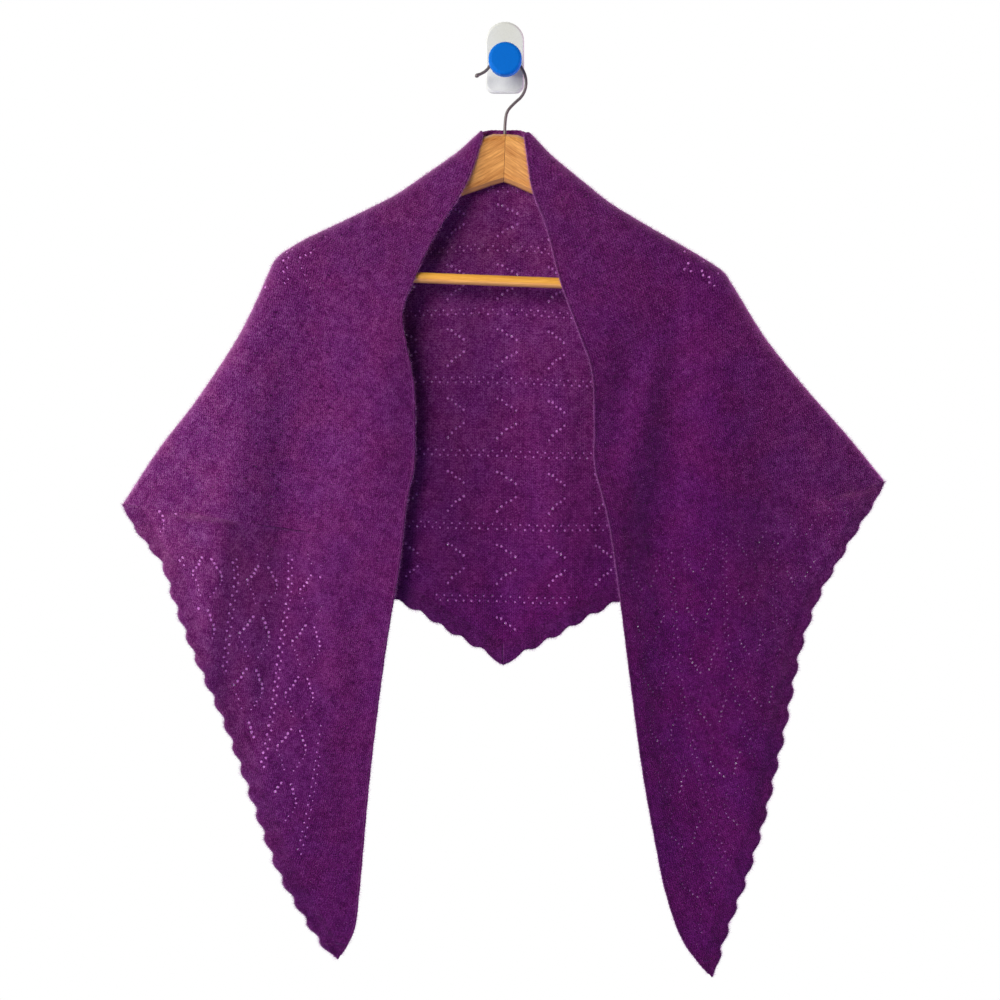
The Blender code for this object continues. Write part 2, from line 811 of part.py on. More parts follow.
def build_front_lower(name, side, finish):
    """The part of a front below the corner, whose columns end at the edging."""
    grid = []
    for along in [CORNER_FRACTION + CORNER_STEP] + hem_stations():
        column = FrontColumn(side, along)
        reach = body_reach(column)
        if reach < LEAST_BODY:
            break
        steps = FRONT_FLAT_ROWS + len(ARC_ANGLES) - 1
        grid.append([column.flat_point(reach * k / steps) for k in range(steps + 1)])
    return add_slab(name, grid, finish, (), [(0, 2), (1, 2)])


def scallop(phase):
    """The lobe's height at a phase from 0 to 1."""
    return SCALLOP_DEPTH * math.sin(math.pi * phase) ** SCALLOP_ROUNDNESS


def edging_line(column, start, lobe):
    """Three points across a front's edging: on the seam, half way and on its edge."""
    outer = column.length + lobe
    return [column.flat_point(start + (outer - start) * k / 2) for k in range(3)]


def build_front_edging(name, side, finish):
    """The edging takes over the whole width where the main piece ends at the tip."""
    stations = hem_stations()
    columns = [FrontColumn(side, along) for along in stations]
    starts = [edging_start(c) if body_reach(c) >= LEAST_BODY else 0.0 for c in columns]
    seam = [c.flat_point(start) for c, start in zip(columns, starts)]
    grid = []
    borrowed = []
    for i in range(SCALLOPS_ON_FRONT):
        last_of_body = starts[i] > 0.0 and starts[i + 1] == 0.0
        for phase in PHASES:
            along = stations[i] + (stations[i + 1] - stations[i]) * phase
            column = FrontColumn(side, along)
            wide = starts[i] == 0.0 or (last_of_body and phase > 0.0)
            start = 0.0 if wide else edging_start(column)
            line = edging_line(column, start, scallop(phase))
            if not wide:
                line[0] = seam[i] + (seam[i + 1] - seam[i]) * phase
            if last_of_body and phase == 0.0:
                line[0] = seam[i]
                grid.append(line)
                borrowed = [(len(grid) - 1, len(grid) - 2), (len(grid), len(grid) + 1)]
                after = FrontColumn(side, along + 2 * CORNER_STEP)
                line = edging_line(after, 0.0, 0.0)
            grid.append(line)
    grid.append(edging_line(columns[-1], 0.0, 0.0))
    return add_slab(name, grid, finish, (), borrowed)


def neck_and_fold_stations():
    neck = NECK_HALF / CORNER_SPAN
    stations = [neck * k / NECK_COLUMNS for k in range(NECK_COLUMNS)]
    return stations + [neck + (1 - neck) * k / FOLD_COLUMNS for k in range(FOLD_COLUMNS)]


def back_seam(column):
    """How far below the fold a back column's edging begins."""
    return column.length - EDGING_WIDTH


def back_line(column):
    """A back column's main piece, or None where only the edging is left."""
    reach = back_seam(column) - 2 * SEAM - column.turn
    if reach < LEAST_BODY:
        return None
    usable = column.length - column.turn
    line = [column.turned_point(k / 3) for k in range(3)]
    line[0] = line[0] + HALF_SEAM_BACKWARD
    share = reach / usable
    return line + [
        column.flat_point(share * k / BACK_FLAT_ROWS) for k in range(BACK_FLAT_ROWS + 1)
    ]


def build_back(name, side, finish):
    """One half of the back, from its middle line to the corner."""
    stations = neck_and_fold_stations()
    stations[0] = 0.5 * SEAM / CORNER_SPAN
    lines = [back_line(BackColumn(side, out)) for out in stations]
    grid = [line for line in lines if line is not None]
    on_fold = [(i, 0) for i in range(len(grid))]
    return add_slab(name, grid, finish, on_fold)


def build_back_edging(name, side, finish):
    """One half of the back's edging, from the middle of the hem to the corner.

    Past the last column of the main piece it takes over the whole height.
    """
    body = [out for out in neck_and_fold_stations() if back_line(BackColumn(side, out))]
    columns = [BackColumn(side, out) for out in body]
    seam = [c.flat_point(1 - EDGING_WIDTH / (c.length - c.turn)) for c in columns]
    seam = np.array(seam).T
    beyond = body[-1] + 2 * CORNER_STEP
    scallops = range(SCALLOPS_ON_HALF_BACK)
    stations = [(i + phase) / SCALLOPS_ON_HALF_BACK for i in scallops for phase in PHASES]
    stations[0] = 0.5 * SEAM / CORNER_SPAN
    stations = sorted(stations + [body[-1], beyond, LAST_BACK_COLUMN])
    grid = []
    for out in stations:
        column = BackColumn(side, out)
        lobe = scallop((out * SCALLOPS_ON_HALF_BACK) % 1.0)
        usable = column.length - column.turn
        outer = (usable + lobe) / usable
        if out <= body[-1]:
            first = np.array([np.interp(out, body, values) for values in seam])
            share = 0.5 * (1 - EDGING_WIDTH / usable + outer)
        else:
            first = column.turned_point(0.0) + HALF_SEAM_BACKWARD
            share = 0.4 * outer
        grid.append([first, column.flat_point(share), column.flat_point(outer)])
    edge = stations.index(body[-1])
    borrowed = [(edge, edge - 1), (edge + 1, edge + 2)]
    on_fold = [(i, 0) for i in range(edge + 1, len(grid))]
    return add_slab(name, grid, finish, on_fold, borrowed)


def main():
    clear_scene()
    knit = material("shawl_knit", (0.15, 0.02, 0.15), 0.9)
    border = material("shawl_edging", (0.19, 0.03, 0.19), 0.9)
    wood = material("hanger_wood", (0.56, 0.29, 0.09), 0.4)
    bar_wood = material("bar_wood", (0.63, 0.37, 0.13), 0.45)
    steel = material("hook_wire", (0.45, 0.46, 0.48), 0.35, 1.0)
    white = material("plate_paint", (0.74, 0.75, 0.72), 0.5)
    blue = material("knob_paint", (0.0, 0.15, 0.55), 0.35)

    left = Side(-1.0, LEFT_FREE_FOLD, LEFT_EDGE, LEFT_HEM, BACK_HEM_LEFT, LEFT_CREASES)
    right = Side(1.0, RIGHT_FREE_FOLD, RIGHT_EDGE, RIGHT_HEM, BACK_HEM_RIGHT, RIGHT_CREASES)

    build_wall_hook(white, blue)
    build_wire_hook(steel)
    build_hanger(wood, bar_wood, steel)
    build_front_upper("shawl_left_front_upper", left, knit)
    build_front_lower("shawl_left_front_lower", left, knit)
    build_front_upper("shawl_right_front_upper", right, knit)
    build_front_lower("shawl_right_front_lower", right, knit)
    build_front_edging("edging_left_front", left, border)
    build_front_edging("edging_right_front", right, border)
    build_back("shawl_back_left", left, knit)
    build_back("shawl_back_right", right, knit)
    build_back_edging("edging_back_left", left, border)
    build_back_edging("edging_back_right", right, border)


main()
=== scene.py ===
"""Looks of a knitted lace shawl that hangs on a wooden hanger and a wall hook.

The shawl is built stitch by stitch: u runs along the plain top edge, in metres from
the middle of the neck, and the pattern's bands are counted from the plain edge to the
hem. The tables repeat those of the solids, so each surface lies in the solid that it
stands for. Drops are measured down from DATUM.
"""

import math
from types import SimpleNamespace

import bpy
import numpy as np
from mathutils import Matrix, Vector


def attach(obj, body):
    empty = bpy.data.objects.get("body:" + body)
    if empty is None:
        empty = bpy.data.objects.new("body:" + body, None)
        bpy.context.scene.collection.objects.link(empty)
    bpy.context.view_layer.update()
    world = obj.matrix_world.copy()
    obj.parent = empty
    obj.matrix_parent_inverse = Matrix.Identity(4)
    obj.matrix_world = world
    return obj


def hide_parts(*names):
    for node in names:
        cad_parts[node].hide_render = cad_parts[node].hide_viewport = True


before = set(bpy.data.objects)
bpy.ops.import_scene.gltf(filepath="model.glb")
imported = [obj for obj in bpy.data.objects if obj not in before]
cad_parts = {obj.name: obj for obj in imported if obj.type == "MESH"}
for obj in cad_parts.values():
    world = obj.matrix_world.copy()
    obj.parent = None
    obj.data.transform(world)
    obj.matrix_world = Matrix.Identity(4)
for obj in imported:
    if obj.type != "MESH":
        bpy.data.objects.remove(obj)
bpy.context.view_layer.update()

MM = 0.001
DATUM = -81.4 * MM
HANGER_X = 0.4 * MM
HANGER_Y = -24.0 * MM
HANGER_TILT = math.radians(2.2)
ARM_HALF_THICKNESS = 8.0 * MM
CLOTH_STANDOFF = 1.8 * MM
FRONT_STANDOFF = 2.2 * MM
BACK_STANDOFF = 2.8 * MM
NECK_HALF = 22.0 * MM
NECK_DROP = -2.2 * MM
NECK_LIFT = 3.4 * MM
NECK_LIFT_REACH = 12.0 * MM
NECK_RISE = 1.3 * MM
HALF_SPAN = 843.0 * MM
CORNER_SPAN = 441.0 * MM
EDGING_WIDTH = 16.0 * MM
SCALLOP_DEPTH = 3.6 * MM
SCALLOPS_ON_FRONT = 21
SCALLOPS_ON_HALF_BACK = 17
CORNER_FRACTION = (CORNER_SPAN - NECK_HALF) / (HALF_SPAN - NECK_HALF)
EDGING_END = 0.994
# Where along an arm the fold's rows are taken (mm).
FOLD_OUTS = (22, 30, 42, 57, 80, 103, 128, 153, 176, 192)
# A fold turns over at most this share of its column's length.
LONGEST_TURN = 0.8

# Creases and ripples: how they fade at their ends and below the fold.
CREASE_FADE = 0.6
CREASES_START = 30.0 * MM
CREASE_AT_FOLD = 0.25
RIPPLES_START = 110.0 * MM
RIPPLE_OFFSET = 0.6 * MM

# The knitting
CLOTH = 1.5 * MM
STITCH = 4.1 * MM
BAND = 54.8 * MM
ROWS_IN_BAND = 13
BANDS_AT_CORNER = 5.0
BANDS_AT_BACK = 7.83
FRONT_BANDS_POWER = 1.6
NECK_STITCHES = 5
FOLD_STITCHES = 102
FREE_STITCHES = 97

ARM_ROWS = (
    # out, top, forward (mm)
    (0, 1, 0), (12, 1.4, 0.2), (22, 5, 0.6), (38, 17.2, 1.2), (57, 32.2, 2.2),
    (80, 50, 4.2), (103, 67.6, 7), (128, 82.6, 10.4), (153, 96.8, 14),
    (176, 109.6, 17.4), (194, 120, 20.2), (204, 127.6, 21.6),
)  # fmt: skip
LEFT_FREE_FOLD = (
    # x, drop, y, reach in front, reach behind (mm)
    (-219.5, 125.5, -46.5, 11, 11.5), (-229, 143, -47.5, 11.5, 12),
    (-238.5, 165, -47.5, 12.5, 13), (-259.5, 206, -46.5, 13.5, 15),
    (-298.5, 264, -44.5, 10, 11), (-335, 310.5, -42, 6, 7),
    (-370.5, 364, -40, 2.2, 2.2),
)  # fmt: skip
RIGHT_FREE_FOLD = (
    (209.5, 139, -46.5, 11, 11.5), (218, 151, -47.5, 11.5, 12),
    (226.5, 165, -47.5, 12.5, 13), (252.5, 206, -46, 13.5, 15),
    (290.5, 252.5, -44.5, 11, 12), (332, 299, -42, 6.5, 7.5),
    (367.5, 342, -40, 2.2, 2.2),
)  # fmt: skip
LEFT_EDGE = (
    # x, drop, y (mm)
    (-22.6, 2.9, -34), (-33.2, 37.7, -37), (-45.7, 65.2, -42), (-60.2, 89.2, -46),
    (-74.5, 115, -50), (-89.7, 150.3, -54.5), (-99.6, 180.5, -57), (-95.3, 214.1, -57),
    (-88.7, 249.5, -56), (-87.7, 292.8, -55.5), (-88.7, 329.3, -55.5),
    (-95.4, 360.1, -55.5), (-102.1, 417.8, -56), (-117.4, 513.9, -56),
    (-130.9, 622.5, -56), (-141.5, 737.8, -56), (-146.5, 774, -56),
    (-160.7, 802.2, -56),
)  # fmt: skip
RIGHT_EDGE = (
    (19.4, 2.9, -34), (23, 30, -36.5), (28, 60.9, -41), (41.4, 98.9, -47.5),
    (53.7, 148.4, -54.5), (71.9, 199.5, -57), (84.4, 237, -56), (87, 290.9, -55.5),
    (87.4, 327.4, -55.5), (100.7, 382.2, -56), (110.3, 446.6, -56), (123.8, 552.3, -56),
    (133.4, 622.5, -56), (145.9, 691.7, -56), (155.5, 737.8, -56), (171.8, 783.9, -56),
    (199, 819.5, -56),
)  # fmt: skip
# The fronts' hems run from the corner to the tip, the back's from the middle outwards.
LEFT_HEM = (
    (-370.5, 364, -42.2), (-349.5, 395, -45), (-327, 424, -50), (-316, 455, -54),
    (-300, 495.6, -56), (-262.5, 587.9, -56), (-221.5, 703.2, -56), (-195, 754.1, -56),
    (-176, 785, -56), (-160.7, 802.2, -56),
)  # fmt: skip
RIGHT_HEM = (
    (367.5, 342, -42.2), (342.5, 380.4, -45), (318, 420.9, -50), (297, 461.1, -54),
    (281.5, 507.1, -56), (267.5, 576.3, -56), (247.5, 662.8, -56), (231.5, 717.6, -56),
    (212, 775, -56), (199, 819.5, -56),
)  # fmt: skip
BACK_HEM_LEFT = (
    (-2, 517.4, -20), (-24.7, 504.5, -20), (-56.2, 485.8, -20), (-99.4, 459.8, -22),
    (-188.4, 426.5, -26), (-308.8, 385.4, -33), (-370.5, 364, -37.6),
)  # fmt: skip
BACK_HEM_RIGHT = (
    (-2, 517.4, -20), (20, 507.5, -20), (42.3, 495.8, -20), (106.1, 460.3, -22),
    (210.7, 412.8, -27), (278.6, 381.5, -31), (367.5, 342, -37.6),
)  # fmt: skip

# Creases: a soft ridge towards the viewer where the depth is positive.
LEFT_CREASES = (
    # x at top, drop at top, bow, x at foot, drop at foot, width, depth (mm), and how
    # many times wider the crease is on its left and on its right, if it is
    (-238, 140, -8, -292, 600, 19, 13, 2.6, 1),
    (-202, 140, -2, -222, 600, 24, -16, 1, 2.8), (-146, 105, -6, -164, 480, 24, 3.5),
    (-98, 120, -6, -128, 420, 24, 6), (-128, 340, 0, -152, 840, 22, -3),
    (-334, 300, 4, -318, 450, 22, 3.5), (-236, 560, 6, -196, 820, 22, 3.5),
)  # fmt: skip
RIGHT_CREASES = (
    (140, 175, -4, 96, 345, 18, -9, 1.5, 1), (168, 145, 6, 142, 445, 16, -13, 1.6, 1.6),
    (212, 150, 2, 204, 430, 26, 3, 1, 1.4), (250, 200, -4, 290, 460, 30, -1.5),
    (332, 290, 4, 320, 440, 30, 8), (142, 330, -2, 178, 810, 24, -9, 1.25, 1.8),
    (224, 390, 2, 240, 790, 26, 5.5, 1, 1.3),
)  # fmt: skip
BACK_CREASES = (
    (-200, 130, -10, -318, 430, 26, -6.5), (-150, 110, -6, -236, 480, 25, 6),
    (-96, 90, -4, -150, 540, 25, -6), (-76, 190, 0, -84, 620, 24, 9, 1, 1.4),
    (4, 230, 2, -4, 620, 21, -2.5), (48, 130, 0, 56, 590, 22, 3),
    (92, 100, 6, 128, 540, 25, -6.5), (150, 115, 8, 214, 490, 24, 6),
    (196, 140, 8, 292, 430, 26, -6),
)  # fmt: skip

# How far down the back each band's lower line lies near the middle, as a share.
BACK_BANDS = (0.0, 0.128, 0.255, 0.383, 0.511, 0.639, 0.766, 0.894, 1.0)
BACK_DROPS = (0.0, 0.109, 0.220, 0.341, 0.471, 0.610, 0.748, 0.885, 1.0)
BACK_WARP_REACH = 220.0 * MM

# Lace chart. Diamonds repeat every 12 stitches, centred in each band.
REPEAT = 12
OUTER_ROWS = 3.5
INNER_ROWS = 1.25
LEG = 5
BRIGHT_EYELET = 1.42 * MM
LINE_EYELET = 1.15 * MM
FAINT_EYELET = 0.70 * MM


class Path:
    """A smooth curve through rows of numbers, read by fractions of its length."""

    STEPS = 12

    def __init__(self, rows):
        rows = np.array(rows, float)
        knots = np.vstack([2 * rows[0] - rows[1], rows, 2 * rows[-1] - rows[-2]])
        t = (np.arange(self.STEPS) / self.STEPS)[:, None]
        dense = []
        for p0, p1, p2, p3 in zip(knots, knots[1:], knots[2:], knots[3:]):
            curve = 2 * p1 + (p2 - p0) * t + (2 * p0 - 5 * p1 + 4 * p2 - p3) * t**2
            dense.append(0.5 * (curve + (3 * p1 - p0 - 3 * p2 + p3) * t**3))
        self.dense = np.vstack(dense + [rows[-1:]])
        steps = np.hypot(*np.diff(self.dense[:, [0, 2]], axis=0).T)
        self.run = np.concatenate([[0.0], np.cumsum(steps)])

    def at(self, fraction):
        here = np.clip(np.asarray(fraction, float), 0.0, 1.0) * self.run[-1]
        return np.stack([np.interp(here, self.run, c) for c in self.dense.T], axis=-1)


def path_of_rows(rows):
    """Rows of x, drop, y and more in mm, as rows of x, y, z and more in metres."""
    rows = np.array(rows, float) * MM
    placed = np.column_stack([rows[:, 0], rows[:, 2], DATUM - rows[:, 1]])
    return np.column_stack([placed, rows[:, 3:]])


def hang(x, drop):
    """Where a point of the level hanger is once it tilts: x and z."""
    across = x * math.cos(HANGER_TILT) - drop * math.sin(HANGER_TILT)
    down = drop * math.cos(HANGER_TILT) + x * math.sin(HANGER_TILT)
    return HANGER_X + across, DATUM - down


def arm_value(out, column):
    rows = np.array(ARM_ROWS) * MM
    return float(np.interp(out, rows[:, 0], rows[:, column]))


def fold_rows(side, free_rows):
    """Rows of the shawl's fold: along the arm, then hanging free to the corner."""
    rows = []
    step = 2.0 * MM
    in_front = ARM_HALF_THICKNESS + FRONT_STANDOFF
    behind = ARM_HALF_THICKNESS + BACK_STANDOFF
    for out in FOLD_OUTS:
        out = out * MM
        before = hang(side * (out - step), arm_value(out - step, 1))
        after = hang(side * (out + step), arm_value(out + step, 1))
        along = np.array(after) - np.array(before)
        along /= np.linalg.norm(along)
        outward = np.array([-along[1], along[0]]) * side
        lift = NECK_LIFT * math.exp(-(((out - NECK_HALF) / NECK_LIFT_REACH) ** 2))
        on_arm = np.array(hang(side * out, arm_value(out, 1)))
        x, z = on_arm + outward * (CLOTH_STANDOFF + lift)
        rows.append((x, HANGER_Y - arm_value(out, 2), z, in_front, behind))
    return rows + [tuple(row) for row in path_of_rows(free_rows)]


def smooth_step(value):
    value = np.clip(value, 0.0, 1.0)
    return value * value * (3 - 2 * value)


def crease_depth(creases, x, z):
    """How far the creases stand out at these places."""
    drop = DATUM - z
    total = np.zeros_like(x)
    for row in creases:
        x_top, drop_top, bow, x_foot, drop_foot, width, depth = (v * MM for v in row[:7])
        wider_left, wider_right = row[7:] or (1, 1)
        t = np.clip((drop - drop_top) / (drop_foot - drop_top), 0.0, 1.0)
        line = x_top + (x_foot - x_top) * t + bow * np.sin(math.pi * t)
        fade = np.maximum(np.sin(math.pi * t), 0.0) ** CREASE_FADE
        wide = width * np.where(x < line, wider_left, wider_right)
        total += depth * fade * np.exp(-(((x - line) / wide) ** 2))
    return total


# Softer, smaller waves than the creases: wave lengths across and down, phase, height.
RIPPLES = (
    # across, down, phase, height (mm, but for the phase)
    (61, 290, 0.3, 0.55), (43, -210, 1.9, 0.4), (29, 160, 4.1, 0.26),
    (97, 74, 2.6, 0.4), (-38, 52, 5.2, 0.24), (23, 31, 0.9, 0.14),
)  # fmt: skip


def ripple(x, z, shift):
    total = np.zeros_like(x)
    for across, down, phase, height in RIPPLES:
        turn = 2 * math.pi * (x / (across * MM) + z / (down * MM)) + phase + shift
        total += height * MM * np.sin(turn + 0.8 * np.sin(turn * 0.37 + shift))
    return total


def uneven(out):
    """A share of the back's hem, with the even steps closer together at the corner."""
    return out + 0.24 * out * (1 - out)


class Side:
    """One half of the shawl: its curves, and the columns of its front and back.

    A column is a straight line of cloth. Seen from the front it is as long as length,
    and at the fold it turns on a quarter of an ellipse, with the sizes turn and depth
    and the run arc. Its cloth is the true length along it.
    """

    def __init__(self, sign, free_fold, edge, hem, back_hem, creases):
        self.sign = sign
        self.fold = Path(fold_rows(sign, free_fold))
        self.edge = Path(path_of_rows(edge))
        self.hem = Path(path_of_rows(hem))
        self.back_hem = Path(path_of_rows(back_hem))
        self.creases = creases

    def front_columns(self, along):
        """The columns from the plain edge to the fold, or beyond the corner to the hem."""
        start = self.edge.at(along)
        on_fold = along <= CORNER_FRACTION + 1e-9
        where = along / CORNER_FRACTION
        fold = self.fold.at(where)
        ahead = (self.fold.at(where + 0.01) - self.fold.at(where - 0.01))[:, [0, 2]]
        hem = self.hem.at((along - CORNER_FRACTION) / (1 - CORNER_FRACTION))
        end = np.where(on_fold[:, None], fold[:, :3], hem[:, :3])
        depth = np.where(on_fold, fold[:, 3], 0.0)
        flat = (end - start)[:, [0, 2]]
        length = np.hypot(*flat.T)
        ahead /= np.maximum(np.hypot(*ahead.T), 1e-9)[:, None]
        square = np.abs(ahead[:, 0] * flat[:, 1] - ahead[:, 1] * flat[:, 0]) / length
        turn = np.minimum(depth / np.maximum(square, 0.3), LONGEST_TURN * length)
        arc = 0.5 * math.pi * np.sqrt(0.5 * (turn**2 + depth**2))
        return SimpleNamespace(
            start=start, end=end, depth=depth, length=length, turn=turn, arc=arc,
            cloth=length - turn + arc, on_fold=on_fold,
        )  # fmt: skip

    def front(self, along, run):
        """Points at a run of cloth from the plain edge, on the column at along."""
        c = self.front_columns(along)
        straight = c.length - c.turn
        share = np.clip((run - straight) / np.maximum(c.arc, 1e-9), 0, 1)
        angle = 0.5 * math.pi * (1 - share)
        turned = c.on_fold & (run > straight)
        t = np.where(turned, 1 - c.turn * (1 - np.cos(angle)) / c.length, run / c.length)
        x, _, z = (c.start + (c.end - c.start) * t[:, None]).T
        y_start, y_end = c.start[:, 1], c.end[:, 1]
        near = np.minimum(run / np.maximum(straight, 1e-9), 1.0)
        flat_y = y_start + (y_end - c.depth - y_start) * near
        y = np.where(turned, y_end - c.depth * np.sin(angle), flat_y)
        beyond = np.maximum(along - CORNER_FRACTION, 0.0) * (HALF_SPAN - NECK_HALF)
        top_z = np.where(c.on_fold, c.end[:, 2], self.fold.at(1.0)[2] + 1.5 * beyond)
        below = top_z - z
        share = np.where(turned, np.sin(angle), 1.0)
        share = share * np.maximum(smooth_step(below / CREASES_START), CREASE_AT_FOLD)
        y -= crease_depth(self.creases, x, z) * share
        calm = smooth_step(below / RIPPLES_START) * smooth_step(run / (10 * MM))
        y -= (ripple(x, z, self.sign) + RIPPLE_OFFSET) * calm
        return np.column_stack([x, y, z])

    def back_columns(self, out):
        """The columns from the neck's edge or the fold to the back's hem."""
        neck = NECK_HALF / CORNER_SPAN
        first = self.fold.at(0.0)
        share = np.clip(out / neck, 0, 1)
        on_neck = out < neck
        turned = np.where(on_neck, smooth_step((share - 0.55) / 0.45), 1.0)
        where = np.clip((out - neck) / (1 - neck), 0, 1)
        row = self.fold.at(where)
        ahead = self.fold.at(where + 0.01) - self.fold.at(where - 0.01)
        square = np.abs(ahead[:, 0]) / np.maximum(np.hypot(ahead[:, 0], ahead[:, 2]), 1e-9)
        x = HANGER_X + (first[0] - HANGER_X) * share
        z = DATUM - NECK_DROP + (first[2] - DATUM + NECK_DROP) * turned
        y = HANGER_Y + (first[1] - HANGER_Y) * share
        top = np.where(on_neck[:, None], np.column_stack([x, y, z]), row[:, :3])
        depth = np.where(on_neck, first[4], row[:, 4])
        square = np.where(on_neck, 0.8, square)
        foot = self.back_hem.at(uneven(out))
        length = np.hypot(*(foot - top)[:, [0, 2]].T)
        turn = np.minimum(depth / np.maximum(square, 0.35), LONGEST_TURN * length) * turned
        first_angle = 0.5 * math.pi * (1 - turned)
        rise = turn * (1 - np.cos(first_angle)) + NECK_RISE * (1 - turned)
        top[:, 2] += np.where(on_neck, rise, 0.0)
        arc = (0.5 * math.pi - first_angle) * np.sqrt(0.5 * (turn**2 + depth**2))
        return SimpleNamespace(
            top=top, foot=foot, depth=depth, length=length, turn=turn, arc=arc,
            first_angle=first_angle, cloth=length - turn + arc,
        )  # fmt: skip

    def back(self, out, run):
        """Points at a run of cloth from the neck's edge or the fold."""
        c = self.back_columns(out)
        share = np.clip(run / np.maximum(c.arc, 1e-9), 0, 1)
        share = np.where(c.arc < 1e-6, 1.0, share)
        angle = c.first_angle + (0.5 * math.pi - c.first_angle) * share
        turning = run < c.arc
        usable = c.length - c.turn
        t = np.clip((run - c.arc) / usable, 0.0, 1.2)
        down = np.where(turning, c.turn * (1 - np.cos(angle)), c.turn + usable * t)
        x, _, z = (c.top + (c.foot - c.top) * (down / c.length)[:, None]).T
        y_top = c.top[:, 1]
        y_near = y_top + c.depth
        flat_y = y_near + (c.foot[:, 1] - y_near) * smooth_step(t * 1.15)
        flat_y = flat_y - crease_depth(BACK_CREASES, x, z) * smooth_step(t * 3.0)
        y = np.where(turning, y_top + c.depth * np.sin(angle), flat_y)
        calm = smooth_step((c.top[:, 2] - z) / RIPPLES_START)
        y += (ripple(x, z, 2.0) + RIPPLE_OFFSET) * calm
        return np.column_stack([x, y, z])


LEFT = Side(-1.0, LEFT_FREE_FOLD, LEFT_EDGE, LEFT_HEM, BACK_HEM_LEFT, LEFT_CREASES)
RIGHT = Side(1.0, RIGHT_FREE_FOLD, RIGHT_EDGE, RIGHT_HEM, BACK_HEM_RIGHT, RIGHT_CREASES)


def fold_bands(u):
    return BANDS_AT_CORNER * np.clip((u - NECK_HALF) / (CORNER_SPAN - NECK_HALF), 0, 1)


def front_bands(u):
    """Bands from the plain edge to the hem's base line, beyond the corner."""
    full = (CORNER_SPAN / HALF_SPAN) ** FRONT_BANDS_POWER
    return BANDS_AT_CORNER * (1 - (u / HALF_SPAN) ** FRONT_BANDS_POWER) / (1 - full)


def back_bands(u):
    out = u / CORNER_SPAN
    return BANDS_AT_BACK - (BANDS_AT_BACK - BANDS_AT_CORNER) * (1.15 * out - 0.15 * out**2)


def along_of(u):
    return (u - NECK_HALF) / (HALF_SPAN - NECK_HALF)


def back_share(beta, u):
    """The share of the back's height at a share of its bands."""
    warp = np.exp(-((u / BACK_WARP_REACH) ** 2))
    return beta + warp * (np.interp(beta, BACK_BANDS, BACK_DROPS) - beta)


# Stitch columns


def unit(vectors):
    return vectors / np.maximum(np.linalg.norm(vectors, axis=-1, keepdims=True), 1e-12)


def front_place(side, u, run):
    return side.front(along_of(u), run)


def back_place(side, u, run):
    return side.back(u / CORNER_SPAN, run)


def front_cloth(side, u):
    return side.front_columns(along_of(u)).cloth


def back_cloth(side, u):
    return side.back_columns(u / CORNER_SPAN).cloth


def placed(place, cloth, side, u, run, outward, u_range):
    """Points and unit normals of a surface; outward is the y sign of its outer side."""
    u = np.asarray(u, float) + np.zeros(len(run))
    whole = cloth(side, u)
    share = run / whole
    step = 0.5 * MM
    before, after = np.clip(u - step, *u_range), np.clip(u + step, *u_range)
    across = place(side, after, share * cloth(side, after))
    across = across - place(side, before, share * cloth(side, before))
    top = np.maximum(run, whole)
    ahead = place(side, u, np.clip(run + step, 0, top))
    ahead = ahead - place(side, u, np.clip(run - step, 0, top))
    normals = unit(np.cross(across, ahead))
    turned = np.sign(np.median(normals[:, 1])) * outward
    return place(side, u, run), normals * (turned if turned else 1.0)


FOLD_RANGE = (NECK_HALF, CORNER_SPAN)
FREE_RANGE = (CORNER_SPAN + 1e-5, HALF_SPAN)
BACK_RANGE = (0.0, CORNER_SPAN)


def front_knots(side, u, run):
    u_range = FOLD_RANGE if np.max(u) <= CORNER_SPAN + 1e-9 else FREE_RANGE
    return placed(front_place, front_cloth, side, u, run, -1.0, u_range)


def back_knots(side, u, run):
    return placed(back_place, back_cloth, side, u, run, 1.0, BACK_RANGE)


class Column:
    """One line of knots of the fine mesh, from row a to row z, and their bands."""

    def __init__(self, number, u, a, z, bands, run):
        self.number, self.u, self.a, self.z = number, u, a, z
        self.bands, self.run = bands, run


def fold_us():
    return np.linspace(NECK_HALF, CORNER_SPAN, FOLD_STITCHES + 1)


def free_us(count=FREE_STITCHES):
    last_u = NECK_HALF + EDGING_END * (HALF_SPAN - NECK_HALF)
    return np.linspace(CORNER_SPAN + 1e-5, last_u, count + 1)


def front_column(number, u, ends, reach, least_rows):
    """A column that ends at this many bands and this run of cloth, in even rows."""
    rows = max(int(round(ends * ROWS_IN_BAND)), least_rows)
    share = np.arange(rows + 1) / max(ends * ROWS_IN_BAND, rows - 0.5)
    share[-1] = 1.0
    return Column(number, u, 0, rows, share * ends, share * reach)


def front_upper_columns(side):
    columns = []
    for k, u in enumerate(fold_us()):
        reach = float(front_cloth(side, np.array([u]))[0])
        columns.append(front_column(NECK_STITCHES + k, u, float(fold_bands(u)), reach, 4))
    return columns


def front_lower_columns(side):
    """Columns beyond the corner, up to the one that the edging leaves no room for."""
    columns = []
    for k, u in enumerate(free_us()):
        cloth = float(front_cloth(side, np.array([u]))[0])
        reach = cloth - EDGING_WIDTH
        if reach < 1.5 * MM:
            break
        ends = float(front_bands(u)) * reach / cloth
        number = NECK_STITCHES + FOLD_STITCHES + k
        columns.append(front_column(number, u, ends, reach, 1))
    return columns


